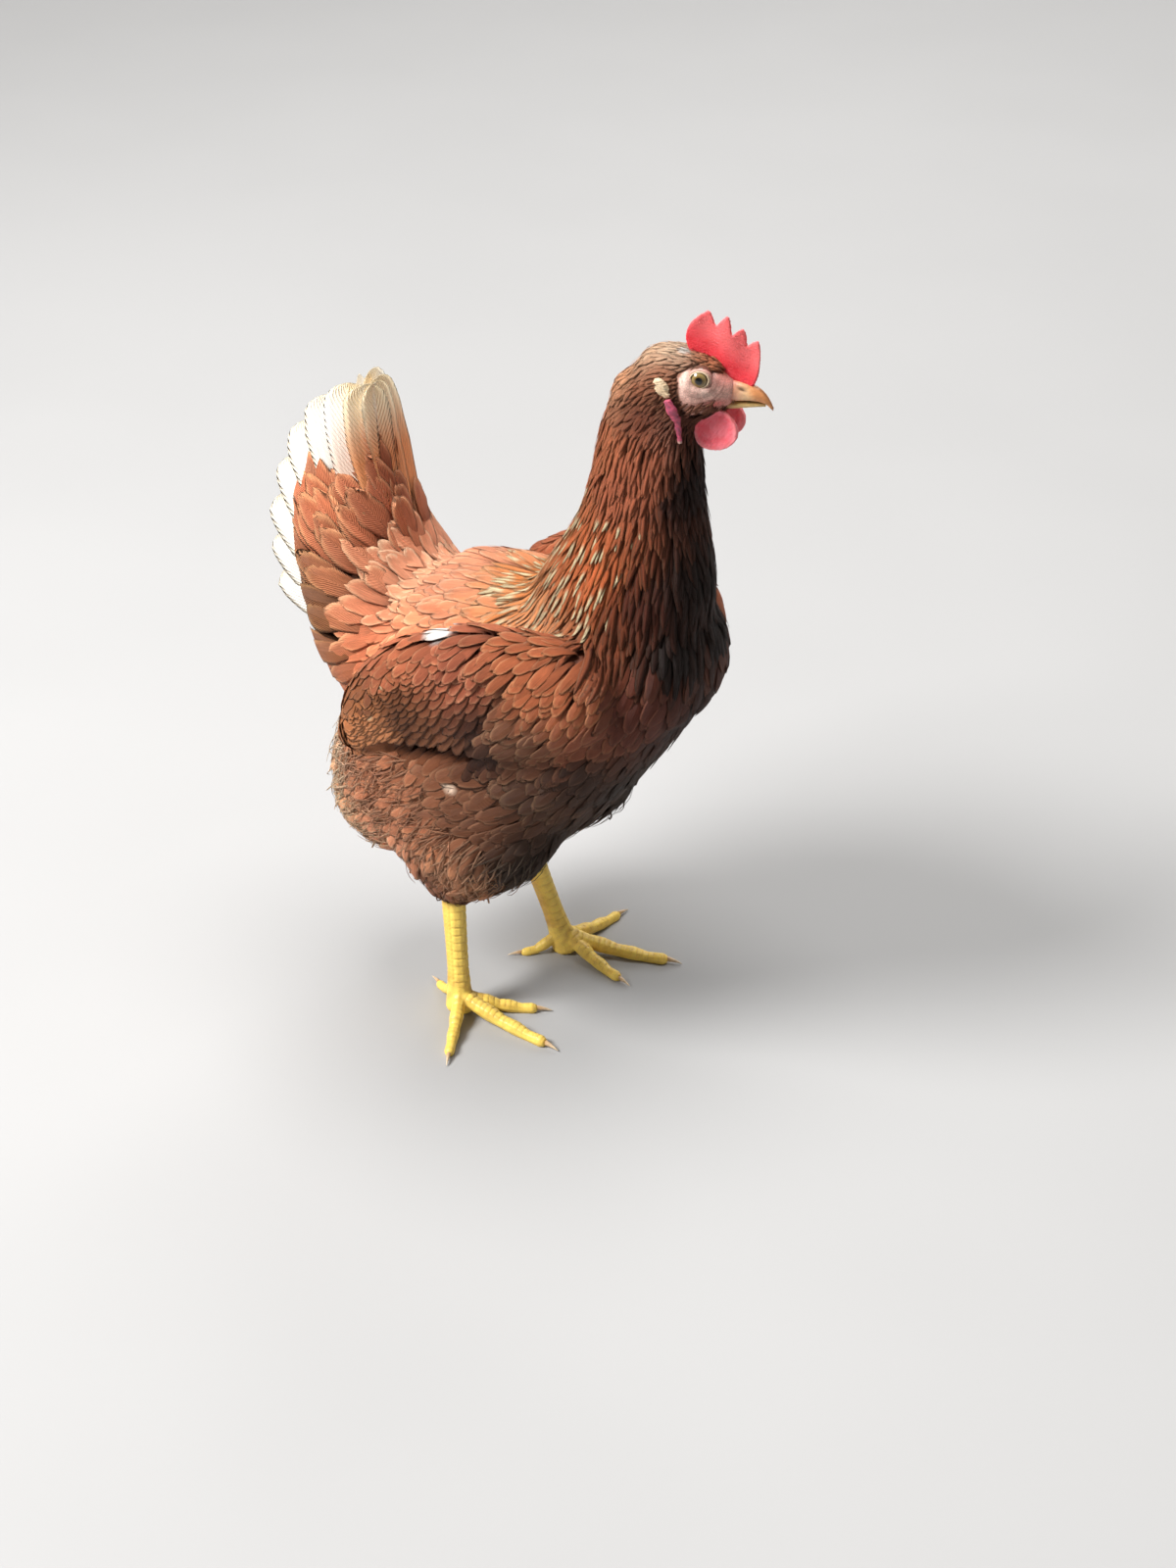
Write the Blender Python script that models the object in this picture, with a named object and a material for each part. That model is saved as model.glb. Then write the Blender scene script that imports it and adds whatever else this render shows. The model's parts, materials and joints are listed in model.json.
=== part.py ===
"""A life-size laying hen standing alert, as closed solids.

Frame: +X is forward, +Y is the hen's left, +Z is up, the floor is Z = 0. Lengths are metres.
Most pieces are sweeps: rings carried along a smooth line through a few named stations.
Neighbours are cut by each other's slightly grown shape, so they meet with a thin gap.
"""

import math

import bmesh
import bpy
from mathutils import Vector

GAP = 0.0003  # clearance between neighbouring pieces
RIGHT, LEFT = -1, 1
FORWARD, UPWARD = Vector((1, 0, 0)), Vector((0, 0, 1))
SIDE_NAMES = {RIGHT: "right", LEFT: "left"}

# Trunk: distance forward, lowest and highest point, half width.
TRUNK = (
    (-0.089, 0.077, 0.166, 0.038),
    (-0.070, 0.074, 0.214, 0.053),
    (-0.040, 0.078, 0.248, 0.064),
    (-0.004, 0.088, 0.254, 0.068),
    (0.030, 0.107, 0.256, 0.066),
    (0.060, 0.141, 0.263, 0.058),
    (0.084, 0.175, 0.265, 0.048),
    (0.099, 0.200, 0.261, 0.037),
)
TRUNK_REAR, TRUNK_BREAST = 0.013, 0.011  # how far the rounded ends reach past the stations

# Neck, from inside the shoulders up to the nape: forward, height, half width, half depth.
NECK = (
    (0.048, 0.222, 0.042, 0.042),
    (0.059, 0.247, 0.042, 0.047),
    (0.0675, 0.273, 0.036, 0.0425),
    (0.0735, 0.300, 0.0285, 0.0325),
    (0.0760, 0.328, 0.0238, 0.0272),
    (0.0778, 0.354, 0.0220, 0.0248),
)

# Head, turned to the hen's left about the top of the neck.
HEAD_PIVOT = Vector((0.080, 0.0, 0.370))
HEAD_TURN = math.radians(18)
# Forward of the pivot, above the pivot, half width, reach above and below the line.
HEAD = (
    (-0.0115, -0.0060, 0.0150, 0.0130, 0.0150),
    (-0.0050, -0.0015, 0.0180, 0.0172, 0.0190),
    (0.0015, 0.0010, 0.0192, 0.0195, 0.0205),
    (0.0100, 0.0030, 0.0180, 0.0190, 0.0200),
    (0.0200, 0.0045, 0.0158, 0.0165, 0.0175),
    (0.0290, 0.0045, 0.0125, 0.0130, 0.0135),
    (0.0370, 0.0030, 0.0090, 0.0088, 0.0095),
)
UPPER_BEAK = (
    (0.029, 0.0030, 0.0070, 0.0072, 0.0040),
    (0.038, 0.0030, 0.0054, 0.0058, 0.0036),
    (0.0450, 0.0015, 0.0041, 0.0050, 0.0032),
    (0.0500, -0.0005, 0.0028, 0.0040, 0.0030),
    (0.0532, -0.0040, 0.0014, 0.0020, 0.0018),
)
LOWER_BEAK = (
    (0.029, -0.0048, 0.0060, 0.0022, 0.0036),
    (0.040, -0.0050, 0.0044, 0.0018, 0.0028),
    (0.0485, -0.0052, 0.0024, 0.0012, 0.0016),
)
EYE_PLACE = Vector((0.0228, 0.0095, 0.0121))
EYE_RADIUS = 0.0060
EARLOBE_PLACE = Vector((0.0069, 0.0176, 0.0083))
EARLOBE_HALF = Vector((0.0036, 0.0024, 0.0052))

# Comb: a thin upright blade. Rows run from the rear to the beak: forward, foot, top.
COMB = (
    (0.0105, 0.0190, 0.0245),
    (0.0122, 0.0190, 0.0300),
    (0.0148, 0.0186, 0.0345),
    (0.0185, 0.0180, 0.0378),
    (0.0228, 0.0165, 0.0402),
    (0.0262, 0.0150, 0.0348),
    (0.0300, 0.0118, 0.0380),
    (0.0318, 0.0108, 0.0392),
    (0.0340, 0.0092, 0.0312),
    (0.0370, 0.0074, 0.0334),
    (0.0390, 0.0062, 0.0342),
    (0.0412, 0.0048, 0.0272),
    (0.0455, 0.0035, 0.0295),
    (0.0474, 0.0035, 0.0200),
    (0.0464, 0.0035, 0.0110),
)
COMB_FOOT_THICKNESS, COMB_EDGE_THICKNESS = 0.0046, 0.0018
COMB_END_THINNING = 0.55  # thickness of the first and last row, as a share

# Wattle: forward, above the pivot, half length fore and aft, half thickness.
WATTLE = (
    (0.0305, -0.0050, 0.0055, 0.0022),
    (0.0297, -0.0090, 0.0082, 0.0020),
    (0.0289, -0.0138, 0.0096, 0.0018),
    (0.0286, -0.0185, 0.0091, 0.0016),
    (0.0289, -0.0222, 0.0068, 0.0013),
)
WATTLE_SPREAD = 0.0068  # sideways from the middle of the head

# Tail: distance forward, height, half width, reach towards the top edge and towards the rear edge.
TAIL = (
    (-0.046, 0.196, 0.046, 0.044, 0.048),
    (-0.062, 0.212, 0.046, 0.038, 0.052),
    (-0.077, 0.236, 0.040, 0.0240, 0.046),
    (-0.0885, 0.261, 0.032, 0.0225, 0.0455),
    (-0.0965, 0.285, 0.024, 0.0235, 0.0370),
    (-0.1000, 0.305, 0.017, 0.0225, 0.0220),
    (-0.0995, 0.3195, 0.0115, 0.0165, 0.0140),
)
TAIL_END = 0.011  # how far the rounded tip reaches past the last station
TAIL_TAPER = 0.40  # the top edge is narrower than the middle by this share

# Folded wing on the flank: forward, out, up, half thickness, reach up and down.
WING = (
    (0.072, 0.048, 0.232, 0.0140, 0.022, 0.026),
    (0.048, 0.057, 0.225, 0.0170, 0.032, 0.031),
    (0.018, 0.063, 0.219, 0.0165, 0.034, 0.033),
    (-0.014, 0.065, 0.206, 0.0140, 0.032, 0.025),
    (-0.042, 0.062, 0.186, 0.0105, 0.022, 0.014),
    (-0.060, 0.059, 0.168, 0.0065, 0.010, 0.007),
)

# Feathered thigh, from inside the body down to the hock: forward, out, up, half width, half depth.
THIGH = (
    (0.004, 0.030, 0.146, 0.028, 0.044),
    (-0.004, 0.036, 0.122, 0.031, 0.051),
    (-0.010, 0.036, 0.100, 0.0245, 0.041),
    (-0.0155, 0.034, 0.084, 0.0165, 0.026),
    (-0.0215, 0.0305, 0.069, 0.0095, 0.0125),
)
HOCK = Vector((-0.024, 0.029, 0.085))  # top of the bare shank, hidden in the thigh
# Bare shank: share of the way from the hock to the foot, half width, half depth.
SHANK = (
    (0.00, 0.0060, 0.0071),
    (0.35, 0.0052, 0.0062),
    (0.70, 0.0049, 0.0057),
    (0.86, 0.0060, 0.0068),
    (0.97, 0.0070, 0.0081),
)
FOOT_PLACES = {RIGHT: Vector((-0.0146, -0.0365, 0.0)), LEFT: Vector((0.0009, 0.0405, 0.0))}
FOOT_TURNS = {RIGHT: math.radians(-1), LEFT: math.radians(21)}

# Toes: direction from straight ahead, outwards positive; length; thickness at the root.
TOES = {
    "inner": (math.radians(-33), 0.036, 0.0043),
    "middle": (math.radians(0), 0.051, 0.0047),
    "outer": (math.radians(61), 0.037, 0.0042),
    "back": (math.radians(-155), 0.021, 0.0036),
}
TOE_ROOT_HEIGHT = {"inner": 0.0095, "middle": 0.0095, "outer": 0.0095, "back": 0.0155}
TOE_ROOT_FORWARD = 0.002  # from the middle of the foot to a toe's first station
TOE_TAPER = 0.34  # how much thinner a toe is at its tip
TOE_WAIST = 0.84  # thickness between two joints, as a share of the thickness at them
TOE_SINK = 0.0008  # a toe's round underside is sunk this far below the floor and cut flat
CLAW_LENGTH = 0.0105
CLAW_CLEARANCE = 0.0006  # height of a claw's point above the floor


def smooth_at(rows, place):
    """Values at a place along the rows, on a Catmull-Rom curve through them."""
    last = len(rows) - 1
    index = min(int(place), last - 1)
    part = place - index
    before, start = rows[max(index - 1, 0)], rows[index]
    end, after = rows[index + 1], rows[min(index + 2, last)]
    values = []
    for a, b, c, d in zip(before, start, end, after):
        square, cube = 2 * a - 5 * b + 4 * c - d, 3 * b - a - 3 * c + d
        values.append(b + 0.5 * part * ((c - a) + part * (square + part * cube)))
    return values


def signed_power(value, power):
    return math.copysign(abs(value) ** power, value)


def ring(centre, across, up, half_width, above, below, sides, square, taper):
    """Points of one rounded section. Taper narrows its upper half and widens its lower half."""
    points = []
    for k in range(sides):
        angle = 2 * math.pi * k / sides
        sideways = signed_power(math.cos(angle), 2 / square)
        upwards = signed_power(math.sin(angle), 2 / square)
        reach = above if upwards > 0 else below
        width = half_width * (1 - taper * upwards)
        points.append(centre + across * (sideways * width) + up * (upwards * reach))
    return points


def close_rings(mesh, rings, start, end):
    """Joins rings of points into one closed skin that ends in a point at each end."""
    rows = [[mesh.verts.new(point) for point in points] for points in rings]
    first, last = mesh.verts.new(start), mesh.verts.new(end)
    sides = len(rows[0])
    for k in range(sides):
        after = (k + 1) % sides
        mesh.faces.new((first, rows[0][after], rows[0][k]))
        mesh.faces.new((last, rows[-1][k], rows[-1][after]))
        for lower, upper in zip(rows, rows[1:]):
            mesh.faces.new((lower[k], lower[after], upper[after], upper[k]))
    bmesh.ops.recalc_face_normals(mesh, faces=mesh.faces)


def sweep(
    rows,
    sides,
    steps,
    start_cap,
    end_cap,
    side=Vector((0, 1, 0)),
    along=None,
    square=2.0,
    taper=0.0,
    grow=0.0,
    caps=3,
):
    """A closed mesh with round ends. Rows are (x, y, z, half width, reach above, reach below).

    Sections stand square to the line through the rows, or to the direction along, where one is given.
    """
    rings = []
    frames = []
    for k in range(steps + 1):
        place = k / steps * (len(rows) - 1)
        x, y, z, half_width, above, below = smooth_at(rows, place)
        ahead = Vector(smooth_at(rows, min(place + 0.02, len(rows) - 1))[:3])
        behind = Vector(smooth_at(rows, max(place - 0.02, 0))[:3])
        tangent = along or (ahead - behind).normalized()
        across = (side - side.project(tangent)).normalized()
        sizes = (half_width + grow, above + grow, below + grow)
        frames.append((Vector((x, y, z)), tangent, across, tangent.cross(across), sizes))

    def cap_rings(frame, length, direction, angles):
        centre, tangent, across, up, sizes = frame
        found = []
        for angle in angles:
            spot = centre + tangent * (direction * (length + grow) * math.sin(angle))
            scaled = [size * math.cos(angle) for size in sizes]
            found.append(ring(spot, across, up, *scaled, sides, square, taper))
        return found

    angles = [math.pi / 2 * k / (caps + 1) for k in range(1, caps + 1)]
    rings += cap_rings(frames[0], start_cap, -1, angles[::-1])
    rings += [ring(c, across, up, *sizes, sides, square, taper) for c, _, across, up, sizes in frames]
    rings += cap_rings(frames[-1], end_cap, 1, angles)
    start = frames[0][0] - frames[0][1] * (start_cap + grow)
    end = frames[-1][0] + frames[-1][1] * (end_cap + grow)
    mesh = bmesh.new()
    close_rings(mesh, rings, start, end)
    return mesh


def both_reaches(rows):
    """Rows of (x, z, half width, half depth) as sweep rows on the middle plane."""
    return [(x, 0.0, z, half_width, half_depth, half_depth) for x, z, half_width, half_depth in rows]


def trunk_mesh(grow=0.0):
    rows = []
    for x, low, high, half_width in TRUNK:
        half = (high - low) / 2
        rows.append((x, 0.0, low + half, half_width, half, half))
    return sweep(rows, 24, 13, TRUNK_REAR, TRUNK_BREAST, along=FORWARD, square=2.2, taper=0.10, grow=grow)


def neck_mesh(grow=0.0):
    return sweep(both_reaches(NECK), 18, 8, 0.024, 0.018, along=UPWARD, grow=grow)


def on_middle(rows):
    """Rows of (x, z, half width, above, below) as sweep rows on the middle plane."""
    return [(x, 0.0, z, half_width, above, below) for x, z, half_width, above, below in rows]


def head_mesh(grow=0.0):
    return sweep(on_middle(HEAD), 20, 11, 0.008, 0.003, square=2.1, grow=grow)


def upper_beak_mesh(grow=0.0):
    return sweep(on_middle(UPPER_BEAK), 12, 8, 0.004, 0.0012, taper=0.30, grow=grow)


def lower_beak_mesh(grow=0.0):
    return sweep(on_middle(LOWER_BEAK), 12, 5, 0.004, 0.0024, taper=-0.20, grow=grow, caps=2)


def eye_mesh(side, grow=0.0):
    mesh = bmesh.new()
    bmesh.ops.create_uvsphere(mesh, u_segments=12, v_segments=8, radius=EYE_RADIUS + grow)
    place = Vector((EYE_PLACE.x, side * EYE_PLACE.y, EYE_PLACE.z))
    bmesh.ops.translate(mesh, verts=mesh.verts, vec=place)
    return mesh


def earlobe_mesh(side):
    mesh = bmesh.new()
    bmesh.ops.create_uvsphere(mesh, u_segments=10, v_segments=6, radius=1.0)
    bmesh.ops.scale(mesh, verts=mesh.verts, vec=EARLOBE_HALF)
    place = Vector((EARLOBE_PLACE.x, side * EARLOBE_PLACE.y, EARLOBE_PLACE.z))
    bmesh.ops.translate(mesh, verts=mesh.verts, vec=place)
    return mesh


def comb_mesh():
    """Upright columns from the scalp to a toothed edge, thinner upwards and at both ends."""
    mesh = bmesh.new()
    columns = []
    last = len(COMB) - 1
    for k, (x, foot, top) in enumerate(COMB):
        end = COMB_END_THINNING if k in (0, last) else 1.0
        rows = []
        for level in (0.0, 0.55, 1.0):
            thick = COMB_FOOT_THICKNESS + (COMB_EDGE_THICKNESS - COMB_FOOT_THICKNESS) * level
            rows.append((x, end * thick / 2, foot + (top - foot) * level))
        left = [mesh.verts.new((px, half, z)) for px, half, z in rows]
        right = [mesh.verts.new((px, -half, z)) for px, half, z in rows]
        columns.append(left + right[::-1])
    for first, second in zip(columns, columns[1:]):
        for k in range(6):
            after = (k + 1) % 6
            mesh.faces.new((first[k], first[after], second[after], second[k]))
    mesh.faces.new(columns[0])
    mesh.faces.new(columns[-1][::-1])
    bmesh.ops.triangulate(mesh, faces=mesh.faces)
    bmesh.ops.recalc_face_normals(mesh, faces=mesh.faces)
    return mesh


def wattle_mesh(side):
    rows = [(x, side * WATTLE_SPREAD, z, half_length, thick, thick) for x, z, half_length, thick in WATTLE]
    return sweep(rows, 12, 6, 0.002, 0.0035, side=Vector((1, 0, 0)), caps=2)


def tail_mesh(grow=0.0):
    rows = [(x, 0.0, z, half_width, rear, top) for x, z, half_width, top, rear in TAIL]
    return sweep(rows, 16, 9, 0.010, TAIL_END, square=2.2, taper=-TAIL_TAPER, grow=grow)


def wing_mesh(side):
    rows = [(x, side * y, z, half, up, down) for x, y, z, half, up, down in WING]
    return sweep(rows, 16, 11, 0.014, 0.012, side=Vector((0, -1, 0)), square=2.2, caps=3)


def thigh_mesh(side, grow=0.0):
    rows = [(x, side * y, z, half, depth, depth) for x, y, z, half, depth in THIGH]
    return sweep(rows, 14, 8, 0.012, 0.004, along=-UPWARD, grow=grow)


def shank_mesh(side, grow=0.0):
    """The bare shank down to the pad that the toes spread from."""
    top = Vector((HOCK.x, side * HOCK.y, HOCK.z))
    rows = []
    for share, half_width, half_depth in SHANK:
        spot = top.lerp(FOOT_PLACES[side], share)
        rows.append((*spot, half_width, half_depth, half_depth))
    return sweep(rows, 12, 8, 0.003, 0.0036, grow=grow, caps=2)


def toe_rows(name):
    """A toe lying ahead in its own frame, with a swelling at each joint."""
    _, length, thick = TOES[name]
    joints = 2 if name == "back" else 3
    rows = []
    for k in range(2 * joints + 1):
        share = k / (2 * joints)
        swell = 1.0 if k % 2 == 0 else TOE_WAIST
        half = thick * swell * (1 - TOE_TAPER * share)
        raised = (1 - share) ** 2  # how much of the root's height is left here
        height = TOE_ROOT_HEIGHT[name] * raised + half * (1 - raised) - TOE_SINK * min(1.0, 2.2 * share)
        rows.append((TOE_ROOT_FORWARD + length * share, 0.0, height, half, half, half))
    return rows


def toe_mesh(name, grow=0.0):
    return sweep(toe_rows(name), 8, len(toe_rows(name)) - 1, 0.003, 0.0030, grow=grow, caps=1)


def claw_mesh(name):
    """A pointed claw that leaves the toe's end and curves down to the floor."""
    toe_end, _, toe_height, toe_half, _, _ = toe_rows(name)[-1]
    rows = []
    for k in range(4):
        share = k / 3
        half = toe_half * (0.72 - 0.60 * share)
        start, finish = toe_height + TOE_SINK / 2, CLAW_CLEARANCE + half
        height = start + (finish - start) * share**1.5
        rows.append((toe_end + CLAW_LENGTH * share, 0.0, height, 0.8 * half, half, half))
    return sweep(rows, 6, 4, 0.001, 0.0005, caps=1)


def add_object(name, mesh, colour, roughness, parent=None):
    data = bpy.data.meshes.new(name)
    mesh.to_mesh(data)
    mesh.free()
    data.shade_smooth()
    obj = bpy.data.objects.new(name, data)
    bpy.context.scene.collection.objects.link(obj)
    obj.parent = parent
    data.materials.append(material(colour, roughness))
    return obj


def add_cutter(name, mesh, parent=None):
    obj = add_object(name, mesh, "Plumage", 0.5, parent)
    obj.hide_render = True
    obj.display_type = "WIRE"
    return obj


COLOURS = {
    "Plumage": (0.33, 0.12, 0.045),
    "Tail": (0.86, 0.78, 0.66),
    "Comb": (0.74, 0.05, 0.05),
    "Face": (0.66, 0.36, 0.30),
    "Lobe": (0.80, 0.68, 0.50),
    "Horn": (0.62, 0.36, 0.20),
    "Eye": (0.42, 0.30, 0.12),
    "Leg": (0.82, 0.56, 0.14),
    "Claw": (0.70, 0.55, 0.38),
}


def material(name, roughness):
    found = bpy.data.materials.get(name)
    if found:
        return found
    made = bpy.data.materials.new(name)
    made.use_nodes = True
    shader = made.node_tree.nodes["Principled BSDF"]
    shader.inputs["Base Color"].default_value = (*COLOURS[name], 1.0)
    shader.inputs["Roughness"].default_value = roughness
    shader.inputs["Metallic"].default_value = 0.0
    return made


def cut(obj, *cutters):
    for cutter in cutters:
        modifier = obj.modifiers.new("Cut", "BOOLEAN")
        modifier.operation = "DIFFERENCE"
        modifier.solver = "EXACT"
        modifier.object = cutter


def add_empty(name, place, turn):
    empty = bpy.data.objects.new(name, None)
    empty.location = place
    empty.rotation_euler = (0.0, 0.0, turn)
    bpy.context.scene.collection.objects.link(empty)
    return empty


def floor_cutter():
    mesh = bmesh.new()
    bmesh.ops.create_cube(mesh, size=1.0)
    bmesh.ops.translate(mesh, verts=mesh.verts, vec=(0, 0, -0.5))
    return add_cutter("floor_cut", mesh)


def build_head(neck_cut, head, head_cut):
    upper = add_object("beak_upper", upper_beak_mesh(), "Horn", 0.4, head)
    upper_cut = add_cutter("beak_upper_cut", upper_beak_mesh(GAP), head)
    cut(upper, head_cut)
    lower = add_object("beak_lower", lower_beak_mesh(), "Horn", 0.4, head)
    lower_cut = add_cutter("beak_lower_cut", lower_beak_mesh(GAP), head)
    cut(lower, head_cut, upper_cut)
    comb = add_object("comb", comb_mesh(), "Comb", 0.5, head)
    cut(comb, head_cut, upper_cut)
    skull = add_object("head", head_mesh(), "Face", 0.6, head)
    for side, label in SIDE_NAMES.items():
        add_object("eye_" + label, eye_mesh(side), "Eye", 0.1, head)
        cut(skull, add_cutter("eye_cut_" + label, eye_mesh(side, GAP), head))
        wattle = add_object("wattle_" + label, wattle_mesh(side), "Comb", 0.5, head)
        cut(wattle, head_cut, lower_cut, upper_cut, neck_cut)
        lobe = add_object("earlobe_" + label, earlobe_mesh(side), "Lobe", 0.6, head)
        cut(lobe, head_cut, neck_cut)


def build_foot(side, label, floor, shank_cut):
    toes = {}
    for name, (direction, _, _) in TOES.items():
        turn = FOOT_TURNS[side] + side * direction
        frame = add_empty(f"toe_frame_{name}_{label}", FOOT_PLACES[side], turn)
        toe = add_object(f"toe_{name}_{label}", toe_mesh(name), "Leg", 0.5, frame)
        cut(toe, shank_cut, floor)
        toe_cut = add_cutter(f"toe_cut_{name}_{label}", toe_mesh(name, GAP), frame)
        toes[name] = (toe, toe_cut)
        claw = add_object(f"claw_{name}_{label}", claw_mesh(name), "Claw", 0.4, frame)
        cut(claw, toe_cut)
    for name in ("inner", "outer"):
        cut(toes[name][0], toes["middle"][1])
    cut(toes["outer"][0], toes["inner"][1])


def build():
    trunk_cut = add_cutter("trunk_cut", trunk_mesh(GAP))
    neck_cut = add_cutter("neck_cut", neck_mesh(GAP))
    tail_cut = add_cutter("tail_cut", tail_mesh(GAP))
    head = add_empty("head_frame", HEAD_PIVOT, HEAD_TURN)
    head_cut = add_cutter("head_cut", head_mesh(GAP), head)
    floor = floor_cutter()

    add_object("trunk", trunk_mesh(), "Plumage", 0.6)
    cut(add_object("neck", neck_mesh(), "Plumage", 0.6), trunk_cut, head_cut)
    cut(add_object("tail", tail_mesh(), "Tail", 0.6), trunk_cut)
    build_head(neck_cut, head, head_cut)
    for side, label in SIDE_NAMES.items():
        thigh_cut = add_cutter("thigh_cut_" + label, thigh_mesh(side, GAP))
        cut(add_object("thigh_" + label, thigh_mesh(side), "Plumage", 0.6), trunk_cut)
        wing = add_object("wing_" + label, wing_mesh(side), "Plumage", 0.6)
        cut(wing, trunk_cut, neck_cut, tail_cut)
        shank = add_object("shank_" + label, shank_mesh(side), "Leg", 0.5)
        cut(shank, thigh_cut, trunk_cut, floor)
        shank_cut = add_cutter("shank_cut_" + label, shank_mesh(side, GAP))
        build_foot(side, label, floor, shank_cut)


def stand_on_origin():
    """Moves the whole hen so that the middle of its box, seen from above, is the origin."""
    bpy.context.view_layer.update()
    graph = bpy.context.evaluated_depsgraph_get()
    corners = []
    for obj in bpy.data.objects:
        if obj.type == "MESH" and not obj.hide_render:
            solid = obj.evaluated_get(graph)
            corners += [solid.matrix_world @ vertex.co for vertex in solid.data.vertices]
    shift = [-(min(c[k] for c in corners) + max(c[k] for c in corners)) / 2 for k in range(2)]
    for obj in bpy.data.objects:
        if obj.parent is None:
            obj.location += Vector((*shift, 0.0))


def clear_scene():
    for obj in list(bpy.data.objects):
        bpy.data.objects.remove(obj, do_unlink=True)


def main():
    clear_scene()
    build()
    stand_on_origin()


main()
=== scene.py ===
"""The looks of a brown laying hen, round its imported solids.

One skin follows the flesh nodes and lies under the coat by the coat's depth. Closed feather vanes grow from
it along the lie of the coat. The head's horn and bare skin, the legs and the claws are finer meshes over
their nodes. Lengths are in metres; +X is forward, +Y the hen's left, +Z up.
"""

import json
import math

import bmesh
import bpy
import numpy as np
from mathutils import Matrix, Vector
from mathutils.bvhtree import BVHTree
from mathutils.kdtree import KDTree

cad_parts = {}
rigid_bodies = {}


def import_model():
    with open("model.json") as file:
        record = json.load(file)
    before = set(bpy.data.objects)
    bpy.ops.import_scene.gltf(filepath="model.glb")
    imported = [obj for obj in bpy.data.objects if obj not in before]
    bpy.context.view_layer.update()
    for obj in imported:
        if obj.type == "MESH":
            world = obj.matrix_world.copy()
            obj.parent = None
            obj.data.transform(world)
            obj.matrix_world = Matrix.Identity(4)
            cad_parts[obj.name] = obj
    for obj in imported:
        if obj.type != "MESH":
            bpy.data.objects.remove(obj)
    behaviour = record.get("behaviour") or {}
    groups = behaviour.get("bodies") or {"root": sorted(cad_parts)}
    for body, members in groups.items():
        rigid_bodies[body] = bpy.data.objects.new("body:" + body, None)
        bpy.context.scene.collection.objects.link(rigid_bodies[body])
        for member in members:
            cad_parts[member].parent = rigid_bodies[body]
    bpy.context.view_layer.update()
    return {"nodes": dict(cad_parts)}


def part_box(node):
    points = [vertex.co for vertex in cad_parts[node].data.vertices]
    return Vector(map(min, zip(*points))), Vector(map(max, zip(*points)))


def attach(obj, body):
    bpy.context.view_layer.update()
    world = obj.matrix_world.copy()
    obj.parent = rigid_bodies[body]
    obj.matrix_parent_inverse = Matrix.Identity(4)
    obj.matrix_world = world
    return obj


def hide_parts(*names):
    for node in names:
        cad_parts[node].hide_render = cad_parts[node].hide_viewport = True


for startup in list(bpy.data.objects):
    bpy.data.objects.remove(startup)
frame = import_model()
NODES = frame["nodes"]
RNG = np.random.default_rng(7)
MM = 0.001

# Where the body's own axes stand in the row frame, and how the head is turned.
SHIFT = np.array((0.0003, -0.0047, 0.0))
HEAD_PIVOT = np.array((0.080, 0.0, 0.370))
HEAD_TURN = math.radians(18)
SIDES = {"right": -1, "left": 1}
FLESH = {
    "trunk": ("trunk",),
    "neck": ("neck",),
    "head": ("head",),
    "tail": ("tail",),
    "wing": ("wing_right", "wing_left"),
    "thigh": ("thigh_right", "thigh_left"),
}
FLESH_NODES = [name for names in FLESH.values() for name in names]
TRACTS = tuple(FLESH)
HEAD, TAIL, WING = (TRACTS.index(tract) for tract in ("head", "tail", "wing"))

# Depth of the coat over the skin.
COAT_DEPTH = {"trunk": 5.0 * MM, "neck": 4.5 * MM, "head": 1.1 * MM, "tail": 7.5 * MM, "wing": 4.0 * MM,
              "thigh": 5.5 * MM}
COAT_DEPTHS = np.array([COAT_DEPTH[tract] for tract in TRACTS])


# ---------------------------------------------------------------- directions, places and colours


def unit(v):
    return v / np.maximum(np.linalg.norm(v, axis=-1, keepdims=True), 1e-12)


def dot(a, b):
    return (a * b).sum(-1, keepdims=True)


def tangent(d, n):
    """The part of d that lies across n, at unit length."""
    return unit(d - n * dot(d, n))


def smoothstep(low, high, x):
    t = np.clip((x - low) / (high - low), 0, 1)
    return t * t * (3 - 2 * t)


def bell(x, middle, half):
    """1 at the middle, fading to either side."""
    return np.exp(-(((x - middle) / half) ** 2))


def linear(colour):
    """Linear light of an sRGB colour given as three numbers up to 255."""
    c = np.asarray(colour, float) / 255
    return np.where(c <= 0.04045, c / 12.92, ((c + 0.055) / 1.055) ** 2.4)


def blended(colour, over, share):
    return colour + (over - colour) * share


def turned(v, angle):
    """v turned about the upward axis."""
    c, s = np.cos(angle), np.sin(angle)
    return np.stack((v[..., 0] * c - v[..., 1] * s, v[..., 0] * s + v[..., 1] * c, v[..., 2]), -1)


def head_share(points):
    """How far each body point goes with the head's turn, from the neck's middle up."""
    return smoothstep(0.325, 0.360, points[..., 2])


def straightened(points):
    """Row-frame points in the body's axes, with the head's turn undone."""
    p = points - SHIFT
    return turned(p - HEAD_PIVOT, -HEAD_TURN * head_share(p)) + HEAD_PIVOT


def from_head(points):
    """Row-frame points from the head's own axes: forward, left and up from its pivot."""
    return turned(points, HEAD_TURN) + HEAD_PIVOT + SHIFT


def head_axes(points):
    """The head's own axes from row-frame points."""
    return turned(points - SHIFT - HEAD_PIVOT, -HEAD_TURN)


def head_vector(x, y, z):
    return turned(np.array((x, y, z), float), HEAD_TURN)


# ---------------------------------------------------------------- meshes


def linked(name, data):
    """A new object in the scene."""
    obj = bpy.data.objects.new(name, data)
    bpy.context.scene.collection.objects.link(obj)
    return obj


def shade_smooth(me):
    me.polygons.foreach_set("use_smooth", np.ones(len(me.polygons), bool))


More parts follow.
